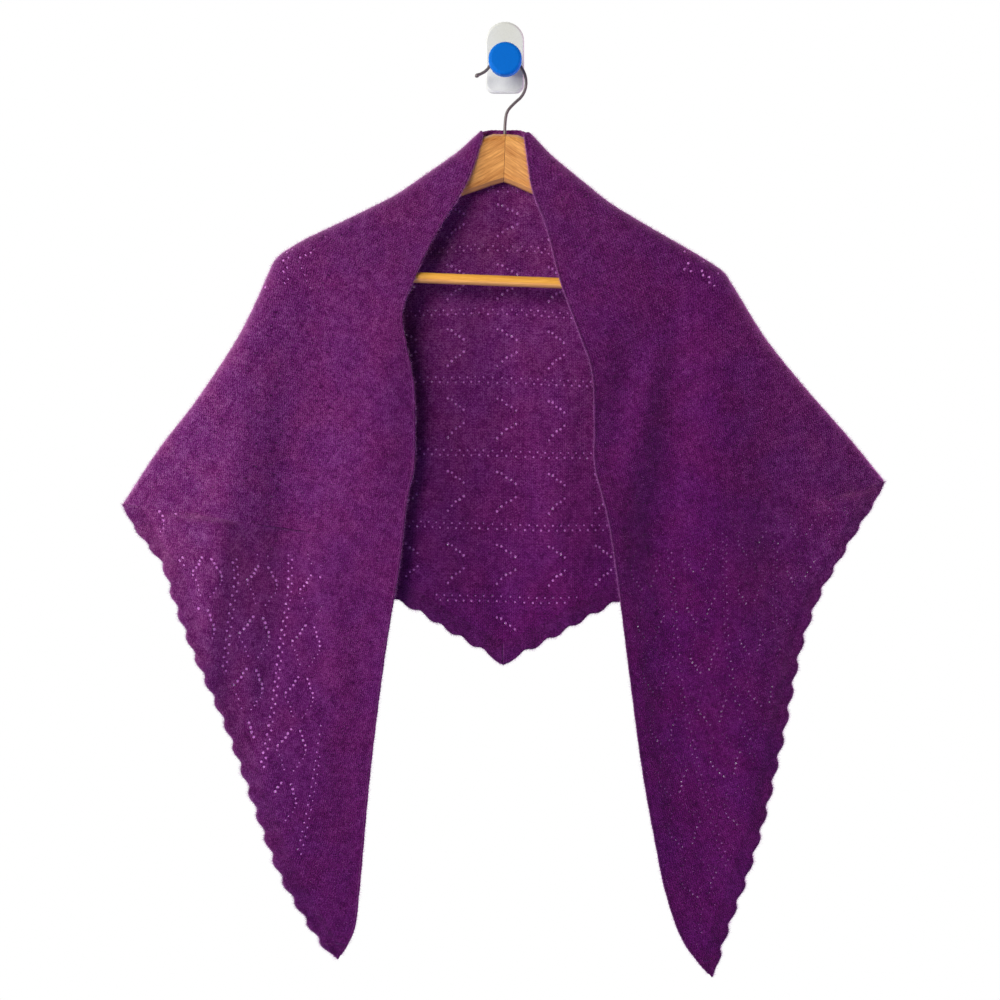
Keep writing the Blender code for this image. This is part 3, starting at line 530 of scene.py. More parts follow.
def back_half_columns(side):
    """Columns from the middle of the neck to the corner, with their rows in line."""
    columns = []
    neck_u = NECK_HALF * np.arange(NECK_STITCHES) / NECK_STITCHES
    for k, u in enumerate(np.concatenate([neck_u, fold_us()])):
        cloth = float(back_cloth(side, np.array([u]))[0])
        reach = cloth - EDGING_WIDTH
        if reach < 3.0 * MM:
            break
        first, last = float(fold_bands(u)), float(back_bands(u))
        end_share = reach / cloth
        rows_first = int(round(first * ROWS_IN_BAND))
        last_here = first + (last - first) * float(np.interp(end_share, *share_table(u)))
        rows_last = max(int(round(last_here * ROWS_IN_BAND)), rows_first + 1)
        bands = np.arange(rows_first, rows_last + 1) / ROWS_IN_BAND
        bands[0], bands[-1] = first, last_here
        share = back_share((bands - first) / (last - first), u)
        share[-1] = end_share
        columns.append(Column(k, u, rows_first, rows_last, bands, share * cloth))
    return columns


def share_table(u):
    """The back's height shares, and the band shares that they belong to."""
    beta = np.linspace(0, 1, 101)
    return back_share(beta, u), beta


# Lace chart


def repeatable(a, b, c=0):
    """A steady number from 0 to 1 for three whole numbers."""
    value = math.sin(a * 127.1 + b * 311.7 + c * 74.7) * 43758.5453
    return value - math.floor(value)


def eyelet(stitch, row, phase, shift, legs):
    """The eyelet in one cell of the mesh: its radius and place, or None.

    stitch and row count the cell, and shift adds rows.
    """
    row = row + shift
    if row < ROWS_IN_BAND - 1:
        return None
    band, inside = divmod(row, ROWS_IN_BAND)
    if inside == 0 and band > 0 and stitch % 2 == 0:
        return LINE_EYELET, 0.5, 0.45
    if inside == ROWS_IN_BAND - 1 and stitch % 2 == 1:
        return LINE_EYELET * 0.88, 0.5, 0.55
    k = (phase - stitch) % REPEAT
    if k >= legs * LEG:
        return None
    middle = 0.5 * ROWS_IN_BAND
    climb = (OUTER_ROWS - INNER_ROWS) / (LEG - 1)
    away = INNER_ROWS + climb * (k if k < LEG else 2 * LEG - 1 - k)
    radius = BRIGHT_EYELET if k < LEG else FAINT_EYELET
    for place in (middle - away, middle + away):
        if inside == int(place):
            return radius, 0.5, min(max(place - inside, 0.32), 0.68)
    return None


# Mesh


class Fabric:
    """The middle surface of a region: knots, cells and which cells have eyelets."""

    def __init__(self, side, columns, knots, chart, closed=None, eyelet_size=1.0):
        self.columns, self.closed, self.eyelet_size = columns, closed, eyelet_size
        self.first = np.cumsum([0] + [len(c.run) for c in columns])
        u = np.concatenate([np.full(len(c.run), c.u) for c in columns])
        run = np.concatenate([c.run for c in columns])
        bands = np.concatenate([c.bands for c in columns])
        self.points, self.normals = knots(side, u, run)
        self.flat = np.column_stack([side.sign * u, bands * BAND])
        self.sign = int(side.sign)
        self.cells, self.holes = [], []
        for k in range(len(columns) - 1):
            self.stitch_between(k, chart)
        self.flip = self.faces_inward()

    def faces_inward(self):
        quads = np.array([cell for cell in self.cells if len(cell) == 4])
        a, b, c, d = (self.points[quads[:, i]] for i in range(4))
        agree = np.einsum("ij,ij->i", np.cross(c - a, d - b), self.normals[quads[:, 0]])
        return float(np.median(agree)) < 0

    def knot(self, k, row):
        return int(self.first[k] + row - self.columns[k].a)

    def stitch_between(self, k, chart):
        here, there, knot = self.columns[k], self.columns[k + 1], self.knot
        low, high = max(here.a, there.a), min(here.z, there.z)
        first = min(self.sign * here.number, self.sign * there.number)
        for row in range(low, high):
            quad = [knot(k, row), knot(k + 1, row), knot(k + 1, row + 1), knot(k, row + 1)]
            found = chart(first, row) if low + 1 <= row <= high - 2 else None
            if found:
                self.holes.append((quad, found, here.number, row))
            else:
                self.cells.append(quad)
        # Triangles where one column starts before the other or ends after it.
        for met, rows_here, rows_there in (
            (low, (here.a, min(low, here.z)), (there.a, min(low, there.z))),
            (high, (max(high, here.a), here.z), (max(high, there.a), there.z)),
        ):
            for row in range(*rows_here):
                self.cells.append([knot(k, row), knot(k + 1, met), knot(k, row + 1)])
            for row in range(*rows_there):
                self.cells.append([knot(k, met), knot(k + 1, row), knot(k + 1, row + 1)])

    def rim(self):
        """Directed border edges of the middle surface, with no cell on their left."""
        edges = set()
        for face in self.cells + [hole[0] for hole in self.holes]:
            for a, b in zip(face, face[1:] + face[:1]):
                if (b, a) in edges:
                    edges.discard((b, a))
                else:
                    edges.add((a, b))
        return edges


rng = np.random.default_rng(20)
HOLE_SIDES = 8
# An eyelet is at most these shares of its cell wide and high.
WIDEST_EYELET, HIGHEST_EYELET = 0.36, 0.33
# Each side of the cloth is this much fuller round an eyelet, and in the middle of a
# closed one it is only this far out.
EYELET_RIM = 0.12 * MM
# The left front is stretched most towards its hem: x, and how large eyelets are there.
STRETCHED = ((-225.0 * MM, -178.0 * MM, -110.0 * MM), (1.06, 0.66, 1.0))
# Above the corners eyelets are open between these distances out, as far as this drop.
OPEN_FROM_LEFT, OPEN_FROM_RIGHT = 180 * MM, 166 * MM
OPEN_TO, OPEN_DROP = 236 * MM, 158 * MM
# Below the left corner they are open left of a line: its x, and where and how steeply
# it turns inwards. Above MOTIFS_DROP only those left of MOTIFS_TOP_X are open.
MOTIFS_X, MOTIFS_TURN, MOTIFS_SLOPE = -177 * MM, 600 * MM, 0.25
MOTIFS_DROP, MOTIFS_TOP_X = 413 * MM, -318 * MM


def closed_above(point):
    """Whether eyelets are closed here; they open where an arm's tip stretches them."""
    out, drop = abs(point[0]), DATUM - point[2]
    nearest = OPEN_FROM_LEFT if point[0] < 0 else OPEN_FROM_RIGHT
    return not (nearest < out < OPEN_TO and drop < OPEN_DROP)


def closed_at_left(point):
    """Whether eyelets are closed here, on the left front below its corner."""
    drop = DATUM - point[2]
    above = drop < MOTIFS_DROP and point[0] > MOTIFS_TOP_X
    return above or point[0] > MOTIFS_X + MOTIFS_SLOPE * max(drop - MOTIFS_TURN, 0.0)


def shell(fabric):
    """A closed cloth about the fabric, with its eyelets open."""
    points, normals = fabric.points, fabric.normals
    count = len(points)
    hole_points, hole_normals, hole_flat, deep = [], [], [], []
    upper_faces, walls = [list(f) for f in fabric.cells], []
    for quad, (radius, cx, cy), number, row in fabric.holes:
        corner = points[quad]
        wide = 0.5 * np.linalg.norm(corner[1] - corner[0] + corner[2] - corner[3])
        high = 0.5 * np.linalg.norm(corner[3] - corner[0] + corner[2] - corner[1])
        size = radius * fabric.eyelet_size * (0.86 + 0.28 * repeatable(number, row))
        size *= float(np.interp(corner[0, 0], *STRETCHED))
        rx, ry = min(size / wide, WIDEST_EYELET), min(1.08 * size / high, HIGHEST_EYELET)
        lean = 0.5 * (repeatable(number, row, 3) - 0.5)
        base = count + len(hole_points)
        for i in range(HOLE_SIDES):
            angle = math.radians(-135 + 45 * i)
            s = cx + rx * math.cos(angle + lean)
            t = cy + ry * math.sin(angle + lean)
            weights = ((1 - s) * (1 - t), s * (1 - t), s * t, (1 - s) * t)
            hole_points.append(sum(w * p for w, p in zip(weights, corner)))
            hole_normals.append(sum(w * n for w, n in zip(weights, normals[quad])))
            hole_flat.append(sum(w * f for w, f in zip(weights, fabric.flat[quad])))
        for side in range(4):
            a, b = quad[side], quad[(side + 1) % 4]
            r0 = base + 2 * side
            r1, r2 = r0 + 1, base + (2 * side + 2) % HOLE_SIDES
            upper_faces += [[a, r1, r0], [a, b, r1], [b, r2, r1]]
        ring = [base + i for i in range(HOLE_SIDES)]
        if fabric.closed and fabric.closed(corner.mean(axis=0)):
            hole_points.append(0.25 * corner.sum(axis=0))
            hole_normals.append(normals[quad].sum(axis=0))
            hole_flat.append(fabric.flat[quad].mean(axis=0))
            deep.append(count + len(hole_points) - 1)
            upper_faces += [[a, b, deep[-1]] for a, b in zip(ring, ring[1:] + ring[:1])]
        else:
            walls.append(ring)
    points = np.vstack([points, hole_points])
    normals = unit(np.vstack([normals, hole_normals]))
    flat = np.vstack([fabric.flat, hole_flat])
    proud = np.full(len(points), 0.5 * CLOTH)
    proud[count:] += EYELET_RIM
    proud[deep] = EYELET_RIM
    total = len(points)
    both = np.vstack([points + normals * proud[:, None], points - normals * proud[:, None]])
    faces = []
    for face in upper_faces:
        faces += [face, [total + i for i in face[::-1]]]
    for ring in walls:
        for a, b in zip(ring, ring[1:] + ring[:1]):
            faces.append([a, b, total + b, total + a])
    rim = fabric.rim()
    for a, b in rim:
        faces.append([b, a, total + a, total + b])
    if fabric.flip:
        faces = [f[::-1] for f in faces]
    edge = sorted({i for pair in rim for i in pair})
    known = {i: normals[i] for i in edge} | {total + i: -normals[i] for i in edge}
    walls = np.array(walls, int).reshape(-1, HOLE_SIDES)
    fabric.rings, fabric.ring_normals = points[walls], normals[walls[:, 0]]
    return both, known, np.vstack([flat, flat]), faces


def smooth_normals(piece, vertices, values):
    """Set these vertices' normals, so that a seam is shaded like the cloth about it."""
    normals = np.empty(3 * len(piece.data.vertices), np.float32)
    piece.data.vertex_normals.foreach_get("vector", normals)
    normals = normals.reshape(-1, 3)
    normals[vertices] = values
    piece.data.normals_split_custom_set_from_vertices(normals.tolist())


def cloth_piece(name, fabrics, material):
    """One piece of cloth from one or more fabrics that meet."""
    points, known, flat, faces, count = [], {}, [], [], 0
    for fabric in fabrics:
        p, n, f, q = shell(fabric)
        points.append(p)
        known |= {count + i: normal for i, normal in n.items()}
        flat.append(f)
        faces += [[count + i for i in face] for face in q]
        count += len(p)
    piece = add_piece(name, np.vstack(points), faces, material, np.vstack(flat))
    smooth_normals(piece, list(known), list(known.values()))
    return piece


def veil(name, fabrics, material, strands, half_width):
    """Fine fibres that cross the open eyelets, a few to each."""
    points, faces = [], []
    for fabric in fabrics:
        for ring, normal in zip(fabric.rings, fabric.ring_normals):
            for _ in range(strands):
                first = int(rng.integers(0, HOLE_SIDES))
                last = (first + int(rng.integers(3, 6))) % HOLE_SIDES
                a, b = ring[first], ring[last]
                way = b - a
                aside = unit(np.cross(normal, way)) * half_width * rng.uniform(0.7, 1.3)
                lift = normal * rng.uniform(0.55, 0.85) * rng.choice((-1.0, 1.0)) * MM
                slide = aside * rng.uniform(-1.0, 1.0)
                a, b = a - 0.12 * way + lift + slide, b + 0.12 * way + lift + slide
                start = len(points)
                points += [a - aside, a + aside, b + aside, b - aside]
                faces.append([start, start + 1, start + 2, start + 3])
    return add_piece(name, np.array(points), faces, material)


def add_piece(name, points, faces, material, uv=None):
    mesh = bpy.data.meshes.new(name)
    mesh.from_pydata(np.asarray(points).tolist(), [], faces)
    mesh.update()
    mesh.shade_smooth()
    if uv is not None:
        layer = mesh.uv_layers.new(name="flat")
        corners = np.empty(len(mesh.loops), np.int32)
        mesh.loops.foreach_get("vertex_index", corners)
        layer.data.foreach_set("uv", np.asarray(uv, np.float32)[corners].ravel())
    mesh.materials.append(material)
    piece = bpy.data.objects.new(name, mesh)
    bpy.context.scene.collection.objects.link(piece)
    return piece


def chart_of(phase, shift=0, legs=2):
    """A chart: the eyelet at each stitch and row."""
    return lambda stitch, row: eyelet(stitch, row, phase, shift, legs)


back_chart = chart_of(phase=2, legs=1)
left_chart = chart_of(phase=2)
right_chart = chart_of(phase=6, shift=ROWS_IN_BAND)
# From this row to the fold these stitches of the right front have only these eyelets.
SHOULDER_STITCHES = range(43, 60)
SHOULDER_ROW = 18
SHOULDER_EYELETS = (
    # stitch, row: a slanting line of six, and a few beside it
    (51, 25), (52, 25), (53, 26), (54, 26), (55, 27), (56, 27),
    (45, 23), (48, 23), (49, 22), (50, 23), (49, 26), (53, 28),
)  # fmt: skip


def right_upper_chart(stitch, row):
    """The chart above the corner, with other eyelets where the arm's tip stretches it."""
    if stitch in SHOULDER_STITCHES and row >= SHOULDER_ROW:
        return (LINE_EYELET, 0.5, 0.5) if (stitch, row) in SHOULDER_EYELETS else None
    return right_chart(stitch, row)


# Edging and rolled edge

EDGING_STEPS = 12
EDGING_ROWS = 9
EDGING_LAP = 1.2 * MM
EDGING_THICK = 1.8 * MM
# The edging runs out to these shares of the plain edge, and to this one of the back.
TIP_SHARES = (0.995, 0.9965, 0.998, 0.999)
BACK_EDGING_END = 0.992
# It is fuller at the corners (reach in scallops) and at the point of the back.
CORNER_SWELL, CORNER_SWELL_REACH = 2.6 * MM, 1.1
POINT_SWELL, POINT_SWELL_REACH = 5.4 * MM, 8.0 * MM
# Relief across the edging: how far its outer side stands out, from seam to edge.
EDGING_RELIEF = (
    # share of the width, height (mm)
    (0, -0.1), (0.15, -0.1), (0.35, -0.45), (0.55, -0.35), (0.75, 0.3), (0.9, 0.45),
    (1, 0.1),
)  # fmt: skip


def edging_relief(share, phase):
    table = np.array(EDGING_RELIEF)
    across = np.interp(share, table[:, 0], table[:, 1]) * MM
    notch = np.abs(np.cos(math.pi * phase)) ** 6
    ribs = np.cos(2 * math.pi * 4 * phase)
    return across - (0.9 * notch * share + 0.16 * ribs * share) * MM


def strip(name, rows_of_points, rows_of_normals, relief, flat):
    """A closed slab about a grid of points, with relief on both of its sides."""
    points, normals = np.array(rows_of_points), np.array(rows_of_normals)
    lines, across = points.shape[:2]
    thin = EDGING_THICK * (1 - 0.45 * np.linspace(0, 1, across) ** 4)[None, :, None]
    upper = points + normals * (relief[:, :, None] + 0.5 * thin)
    lower = points + normals * (relief[:, :, None] - 0.5 * thin)
    total = lines * across
    both = np.vstack([upper.reshape(-1, 3), lower.reshape(-1, 3)])
    index = np.arange(total).reshape(lines, across)
    a, b = index[:-1, :-1].ravel(), index[1:, :-1].ravel()
    c, d = index[1:, 1:].ravel(), index[:-1, 1:].ravel()
    cross = np.cross(both[c] - both[a], both[d] - both[b])
    flip = np.median(np.einsum("ij,ij->i", cross, normals.reshape(-1, 3)[a])) < 0
    faces = np.column_stack([a, b, c, d]).tolist()
    faces += (np.column_stack([d, c, b, a]) + total).tolist()
    loop = index[:, 0].tolist() + index[-1, 1:].tolist()
    loop += index[-2::-1, -1].tolist() + index[0, -2:0:-1].tolist()
    for p, q in zip(loop, loop[1:] + loop[:1]):
        faces.append([q, p, total + p, total + q])
    if flip:
        faces = [f[::-1] for f in faces]
    uv = np.vstack([np.array(flat).reshape(-1, 2)] * 2)
    piece = add_piece(name, both, faces, edging_knit, uv)
    smooth_normals(piece, index[:, 0], normals[:, 0])
    smooth_normals(piece, total + index[:, 0], -normals[:, 0])
    return piece


def scallop(phase):
    return SCALLOP_DEPTH * (1 - abs(math.cos(math.pi * phase)) ** 2.6)


def edging(name, side, stations, body_end, knots, cloth_of, bands_of):
    """A scalloped strip outside the body; stations hold u, phase, fullness and swell."""
    points, normals, flat, reliefs = [], [], [], []
    share = np.linspace(0, 1, EDGING_ROWS)
    followers = [station[0] for station in stations[1:]] + [stations[-1][0]]
    for (u, phase, fullness, swell), following in zip(stations, followers):
        cloth = float(cloth_of(side, np.array([u]))[0])
        outer = cloth + fullness * scallop(phase) + swell
        # Past the body's last column the strip is as wide as the cloth is there.
        starts = [0.0]
        if u <= body_end:
            starts = [max(cloth - EDGING_WIDTH - EDGING_LAP, 0.0)]
            if following > body_end:
                starts.append(0.0)
        for start in starts:
            run = start + (outer - start) * share
            p, n = knots(side, np.full(EDGING_ROWS, u), run)
            points.append(p)
            normals.append(n)
            reliefs.append(fullness * edging_relief(share, phase))
            down = float(bands_of(u)) * BAND - outer + run
            flat.append(np.column_stack([np.full(EDGING_ROWS, side.sign * u), down]))
    return strip(name, points, normals, np.array(reliefs), flat)


def front_stations():
    count = SCALLOPS_ON_FRONT * EDGING_STEPS
    rows = []
    for i, u in enumerate(free_us(count)):
        at = i / EDGING_STEPS
        fullness = min(1.0, 0.1 + i / (2.5 * EDGING_STEPS), 0.3 + (count - i) / 10)
        swell = CORNER_SWELL * math.exp(-(((at - 1.0) / CORNER_SWELL_REACH) ** 2))
        rows.append((u, at % 1.0, fullness, swell))
    for share in TIP_SHARES:
        rows.append((NECK_HALF + share * (HALF_SPAN - NECK_HALF), 0.0, 0.3, 0.0))
    return rows


def back_stations():
    steps = SCALLOPS_ON_HALF_BACK * EDGING_STEPS
    rows = []
    for i in range(steps + 1):
        out = BACK_EDGING_END * i / steps
        phase = (SCALLOPS_ON_HALF_BACK * uneven(out)) % 1.0
        swell = POINT_SWELL * math.exp(-((out * CORNER_SPAN / POINT_SWELL_REACH) ** 2))
        rows.append((out * CORNER_SPAN, phase, min(1.0, 0.1 + (steps - i) / 8), swell))
    return rows


NECK_ROLL = 0.9 * MM
ROLL_STEP = 2.05 * MM
# Where the rolled edge turns from a front's edge to the neck: a share of the cloth
# there, and how far inwards (mm).
NECK_TURN = ((0.3, 0.0), (0.55, 0.3), (0.8, 0.8), (1.0, 1.0))


def plain_edge_points():
    """The plain top edge from the left tip over the neck to the right tip."""
    route = []
    first, at_edge = np.array([NECK_HALF]), np.array([0.0])
    for side in (LEFT, RIGHT):
        half = []
        for u in np.concatenate([free_us()[::-1], fold_us()[::-1][1:]]):
            half.append(side.front(np.array([along_of(u)]), at_edge)[0])
        whole = float(front_cloth(side, first)[0])
        for share, aside in NECK_TURN:
            inward = np.array([-side.sign, 0.0, -0.5]) * aside * MM
            half.append(front_place(side, first, np.array([share * whole]))[0] + inward)
        for k in range(1, NECK_STITCHES + 1):
            u = NECK_HALF * (1 - k / NECK_STITCHES)
            place = back_place(side, np.array([u]), at_edge)[0]
            half.append(place + [0.0, 0.0, NECK_ROLL])
        route.append(half)
    return np.array(route[0] + route[1][::-1][1:])


def ring_about(centre, first, second, radius, sides):
    """Points on a circle that lies in the plane of two directions."""
    turns = (2 * math.pi * k / sides for k in range(sides))
    return [centre + radius * (math.cos(t) * first + math.sin(t) * second) for t in turns]


def band_faces(rings, sides, reverse=False):
    """Quads between rings of points that follow each other."""
    faces = []
    for i in range(rings - 1):
        for k in range(sides):
            a, b = i * sides + k, i * sides + (k + 1) % sides
            quad = [a, b, b + sides, a + sides]
            faces.append([a, a + sides, b + sides, b] if reverse else quad)
    return faces


def even_points(points, step):
    """Points at even steps along a line through points in space."""
    steps = np.linalg.norm(np.diff(points, axis=0), axis=1)
    run = np.concatenate([[0.0], np.cumsum(steps)])
    here = np.linspace(0, run[-1], int(run[-1] / step) + 1)
    return np.stack([np.interp(here, run, c) for c in points.T], axis=-1)


def tube(name, route, radius, sides, material, wobble):
    """A round roll along a route, a little thicker at each stitch."""
    route = even_points(route, ROLL_STEP)
    tangents = unit(np.gradient(route, axis=0))
    frame_a = np.array([0.0, -1.0, 0.0])
    rings = []
    for i, (place, along) in enumerate(zip(route, tangents)):
        frame_a = frame_a - along * float(frame_a @ along)
        frame_a /= np.linalg.norm(frame_a)
        size = radius * (1 + wobble * (0.5 - (i % 2)) + 0.10 * math.sin(i * 0.61))
        size *= min(1.0, 0.35 + i / 6, 0.35 + (len(route) - 1 - i) / 6)
        rings += ring_about(place, frame_a, np.cross(along, frame_a), size, sides)
    faces = band_faces(len(route), sides, reverse=True)
    faces.append(list(range(sides)))
    faces.append(list(range(len(rings) - 1, len(rings) - 1 - sides, -1)))
    uv = [(i * MM, k * MM) for i in range(len(route)) for k in range(sides)]
    return add_piece(name, np.array(rings), faces, material, np.array(uv))


# Halo

FIBRE_HALF_WIDTH = 0.045 * MM


def fibres(name, roots, ways, lengths, material):
    """Fine curved hairs as flat tapered strips, three triangles each."""
    count = len(roots)
    ways = unit(ways)
    aside = unit(np.cross(ways, unit(rng.normal(size=(count, 3)))))
    curl = unit(np.cross(ways, unit(rng.normal(size=(count, 3)))))
    bend = rng.uniform(-0.6, 0.6, count)[:, None] * curl
    lengths = lengths[:, None]
    points = []
    for t, wide in ((0.0, 1.0), (0.5, 0.8)):
        centre = roots + lengths * (ways * t + bend * t * t)
        half = aside * FIBRE_HALF_WIDTH * wide
        points += [centre - half, centre + half]
    points.append(roots + lengths * (ways + bend))
    grid = np.stack(points, axis=1)
    base = (np.arange(count) * 5)[:, None]
    faces = (base + [0, 1, 3, 2]).tolist() + (base + [2, 3, 4]).tolist()
    return add_piece(name, grid.reshape(-1, 3), faces, material)


def surface_hairs(fabric, count):
    quads = np.array([c for c in fabric.cells if len(c) == 4])
    chosen = quads[rng.integers(0, len(quads), count)]
    weights = rng.dirichlet(np.ones(4), count)
    roots = np.einsum("ij,ijk->ik", weights, fabric.points[chosen])
    normals = fabric.normals[chosen[:, 0]]
    side = np.where(rng.random(count) < 0.68, 1.0, -1.0)[:, None]
    roots = roots + side * normals * 0.4 * CLOTH
    ways = side * normals * rng.uniform(0.25, 0.9, (count, 1))
    ways = ways + 0.75 * rng.normal(size=(count, 3)) + np.array([0, 0, -0.25])
    return roots, ways, rng.uniform(1.5, 5.0, count) * MM


def edge_hairs(line, outward, count, spread=0.55):
    here = rng.uniform(0, len(line) - 1, count)
    low = np.floor(here).astype(int)
    t = (here - low)[:, None]
    high = np.minimum(low + 1, len(line) - 1)
    roots = line[low] * (1 - t) + line[high] * t
    ways = unit(outward[low]) + spread * rng.normal(size=(count, 3))
    return roots, ways, rng.gamma(4.0, 0.55, count).clip(0.7, 5.0) * MM


def merged(parts):
    return [np.concatenate(column) for column in zip(*parts)]


# Materials


class Look:
    """One material and a short way to add its nodes."""

    def __init__(self, name, colour, roughness, **sockets):
        self.material = bpy.data.materials.new(name)
        self.material.use_nodes = True
        self.tree = self.material.node_tree
        self.shader = self.tree.nodes["Principled BSDF"]
        self.put(self.shader, "Base Color", (*colour, 1.0))
        self.put(self.shader, "Roughness", roughness)
        for socket, value in sockets.items():
            self.put(self.shader, socket.replace("_", " "), value)

    def put(self, node, socket, value):
        if isinstance(value, bpy.types.NodeSocket):
            self.tree.links.new(value, node.inputs[socket])
        else:
            node.inputs[socket].default_value = value

    def add(self, kind, output, settings=None, **sockets):
        node = self.tree.nodes.new("ShaderNode" + kind)
        for key, value in (settings or {}).items():
            setattr(node, key, value)
        for socket, value in sockets.items():
            self.put(node, socket.replace("_", " "), value)
        return node.outputs[output]

    def split(self, vector):
        parts = self.tree.nodes.new("ShaderNodeSeparateXYZ")
        self.put(parts, "Vector", vector)
        return parts.outputs

    def math(self, operation, *values):
        node = self.tree.nodes.new("ShaderNodeMath")
        node.operation = operation
        for i, value in enumerate(values):
            self.put(node, i, value)
        return node.outputs[0]

    def weighted(self, *terms, start=None):
        """The sum of values, each times its weight."""
        for value, weight in terms:
            if start is None:
                start = self.math("MULTIPLY", value, weight)
            else:
                start = self.math("MULTIPLY_ADD", value, weight, start)
        return start

    def noise(self, vector, size, detail=2.0, roughness=0.5, distortion=0.0):
        return self.add(
            "TexNoise", "Fac", Vector=vector, Scale=1 / size, Detail=detail,
            Roughness=roughness, Distortion=distortion,
        )  # fmt: skip

    def mix(self, factor, first, second, blend="MIX"):
        node = self.tree.nodes.new("ShaderNodeMix")
        node.data_type = "RGBA"
        node.blend_type = blend
        for socket, value in ((0, factor), (6, first), (7, second)):
            self.put(node, socket, value)
        return node.outputs[2]

    def ramp(self, factor, *stops):
        node = self.tree.nodes.new("ShaderNodeValToRGB")
        self.put(node, "Fac", factor)
        while len(node.color_ramp.elements) < len(stops):
            node.color_ramp.elements.new(0.5)
        for element, (place, colour) in zip(node.color_ramp.elements, stops):
            element.position = place
            element.color = (*colour, 1.0)
        return node.outputs["Color"]

    def bump(self, height, distance, strength=1.0):
        sockets = dict(Height=height, Distance=distance, Strength=strength)
        self.put(self.shader, "Normal", self.add("Bump", "Normal", **sockets))

    def place(self):
        return self.add("TexCoord", "Object")


# Dark, middle and light fibres of the yarn, in a shaded copy and a lit copy. The lit copy's
# whitish light fibres are painted sheen, and mixing the two copies by place is painted
# light and shade.
SHADED_YARN = ((0.042, 0.0002, 0.040), (0.085, 0.0010, 0.080), (0.132, 0.0100, 0.126))
LIT_SHEEN_YARN = ((0.067, 0.0007, 0.059), (0.142, 0.0135, 0.123), (0.242, 0.0670, 0.212))
# The yarn's hue drifts between a redder and a bluer purple.
REDDER, BLUER = (1.0, 0.95, 0.91), (0.93, 0.97, 1.0)
SHEEN = (0.90, 0.50, 0.88, 1.0)
YARN_STOPS = (0.475, 0.59, 0.705)
# Painted rim glow: where the cloth is seen edge on, its colour turns towards this pale
# lilac, which hides the stitches.
PAINTED_RIM_GLOW = (0.58, 0.240, 0.53)
RIM_GLOW_BLEND, RIM_GLOW_POWER, RIM_GLOW_MOST = 0.30, 2.0, 0.85
# Painted light: how much of the lit copy is mixed in, in the middle at the top, and more
# for each metre of x and z. On the back it falls off faster downwards, painted shade where
# the fronts shade the back.
FRONT_PAINTED_LIGHT, BACK_PAINTED_LIGHT = (0.56, -1.0, 0.7), (1.25, -0.9, 2.1)
# The painted light grows from this distance out towards both corners, by so much for each
# metre.
CORNER_PAINTED_LIGHT_FROM, CORNER_PAINTED_LIGHT_GAIN = 0.20, 5.0


def knit_look(name, stitch_wide, stitch_high, depth, gain=1.0, light_gradient=FRONT_PAINTED_LIGHT):
    """Brushed yarn: soft V stitches, curly flecks of the fibre and broad mottling, with
    painted light and shade mixed in by place and a painted rim glow where the cloth is seen
    edge on.
    """
    look = Look(name, SHADED_YARN[1], 0.95, Sheen_Weight=0.15, Sheen_Roughness=0.5)
    look.put(look.shader, "Sheen Tint", SHEEN)
    look.put(look.shader, "Specular IOR Level", 0.10)
    flat = look.split(look.add("UVMap", "UV", {"uv_map": "flat"}))
    across = look.math("MULTIPLY", flat["X"], 1 / stitch_wide)
    down = look.math("MULTIPLY", flat["Y"], 1 / stitch_high)
    inside = look.math("SUBTRACT", look.math("FRACT", across), 0.5)
    lean = look.math("ABSOLUTE", inside)
    turn = look.math("MULTIPLY", look.math("ADD", down, lean), 2 * math.pi)
    loops = look.math("MULTIPLY_ADD", look.math("SINE", turn), 0.5, 0.5)
    swing = look.math("MULTIPLY", inside, 2 * math.pi)
    legs = look.math("ABSOLUTE", look.math("SINE", swing))
    stitches = look.weighted((loops, 0.55), (legs, 0.45))
    place = look.place()
    flecks = look.noise(place, 2.8 * MM, 3.0, 0.65, 1.6)
    fuzz = look.noise(place, 1.5 * MM, 2.0, 0.6, 0.8)
    clumps = look.noise(place, 11 * MM)
    broad = look.noise(place, 38 * MM)
    tone = look.weighted((clumps, 0.18), (flecks, 0.62), (stitches, 0.08), (fuzz, 0.30))
    shades = []
    for yarn in (SHADED_YARN, LIT_SHEEN_YARN):
        colours = [tuple(gain * c for c in colour) for colour in yarn]
        shades.append(look.ramp(tone, *zip(YARN_STOPS, colours)))
    # Painted light and shade: the lit copy is mixed in more high up, on the left and
    # towards both corners, and the shaded copy lower down and on the right.
    where = look.split(place)
    painted_light_share = look.weighted((where["X"], light_gradient[1]), (where["Z"], light_gradient[2]), start=light_gradient[0])
    out = look.math("ABSOLUTE", where["X"])
    beyond = look.math("MAXIMUM", look.math("SUBTRACT", out, CORNER_PAINTED_LIGHT_FROM), 0.0)
    painted_light_share = look.math("MULTIPLY_ADD", beyond, CORNER_PAINTED_LIGHT_GAIN, painted_light_share)
    look.tree.nodes[-1].use_clamp = True
    drift = look.ramp(broad, (0.36, REDDER), (0.64, BLUER))
    yarn = look.mix(1.0, look.mix(painted_light_share, *shades), drift, "MULTIPLY")
    # Painted rim glow: the colour turns pale where the surface is seen edge on.
    grazing = look.add("LayerWeight", "Facing", Blend=RIM_GLOW_BLEND)
    grazing = look.math("POWER", grazing, RIM_GLOW_POWER)
    grazing = look.math("MULTIPLY", grazing, RIM_GLOW_MOST)
    look.put(look.shader, "Base Color", look.mix(grazing, yarn, (*PAINTED_RIM_GLOW, 1.0)))
    look.bump(look.weighted((flecks, 1.6), (fuzz, 0.8), start=stitches), depth)
    return look.material


def fibre_look(name, dark, light):
    look = Look(name, light, 0.8, Sheen_Weight=0.4, Sheen_Roughness=0.4, Sheen_Tint=SHEEN)
    tone = look.noise(look.place(), 3.5 * MM)
    look.put(look.shader, "Base Color", look.ramp(tone, (0.35, dark), (0.68, light)))
    return look.material


# Painted shade: the colour of the wood's downward faces.
UNDERSIDE_SHADE = (0.50, 0.24, 0.085)


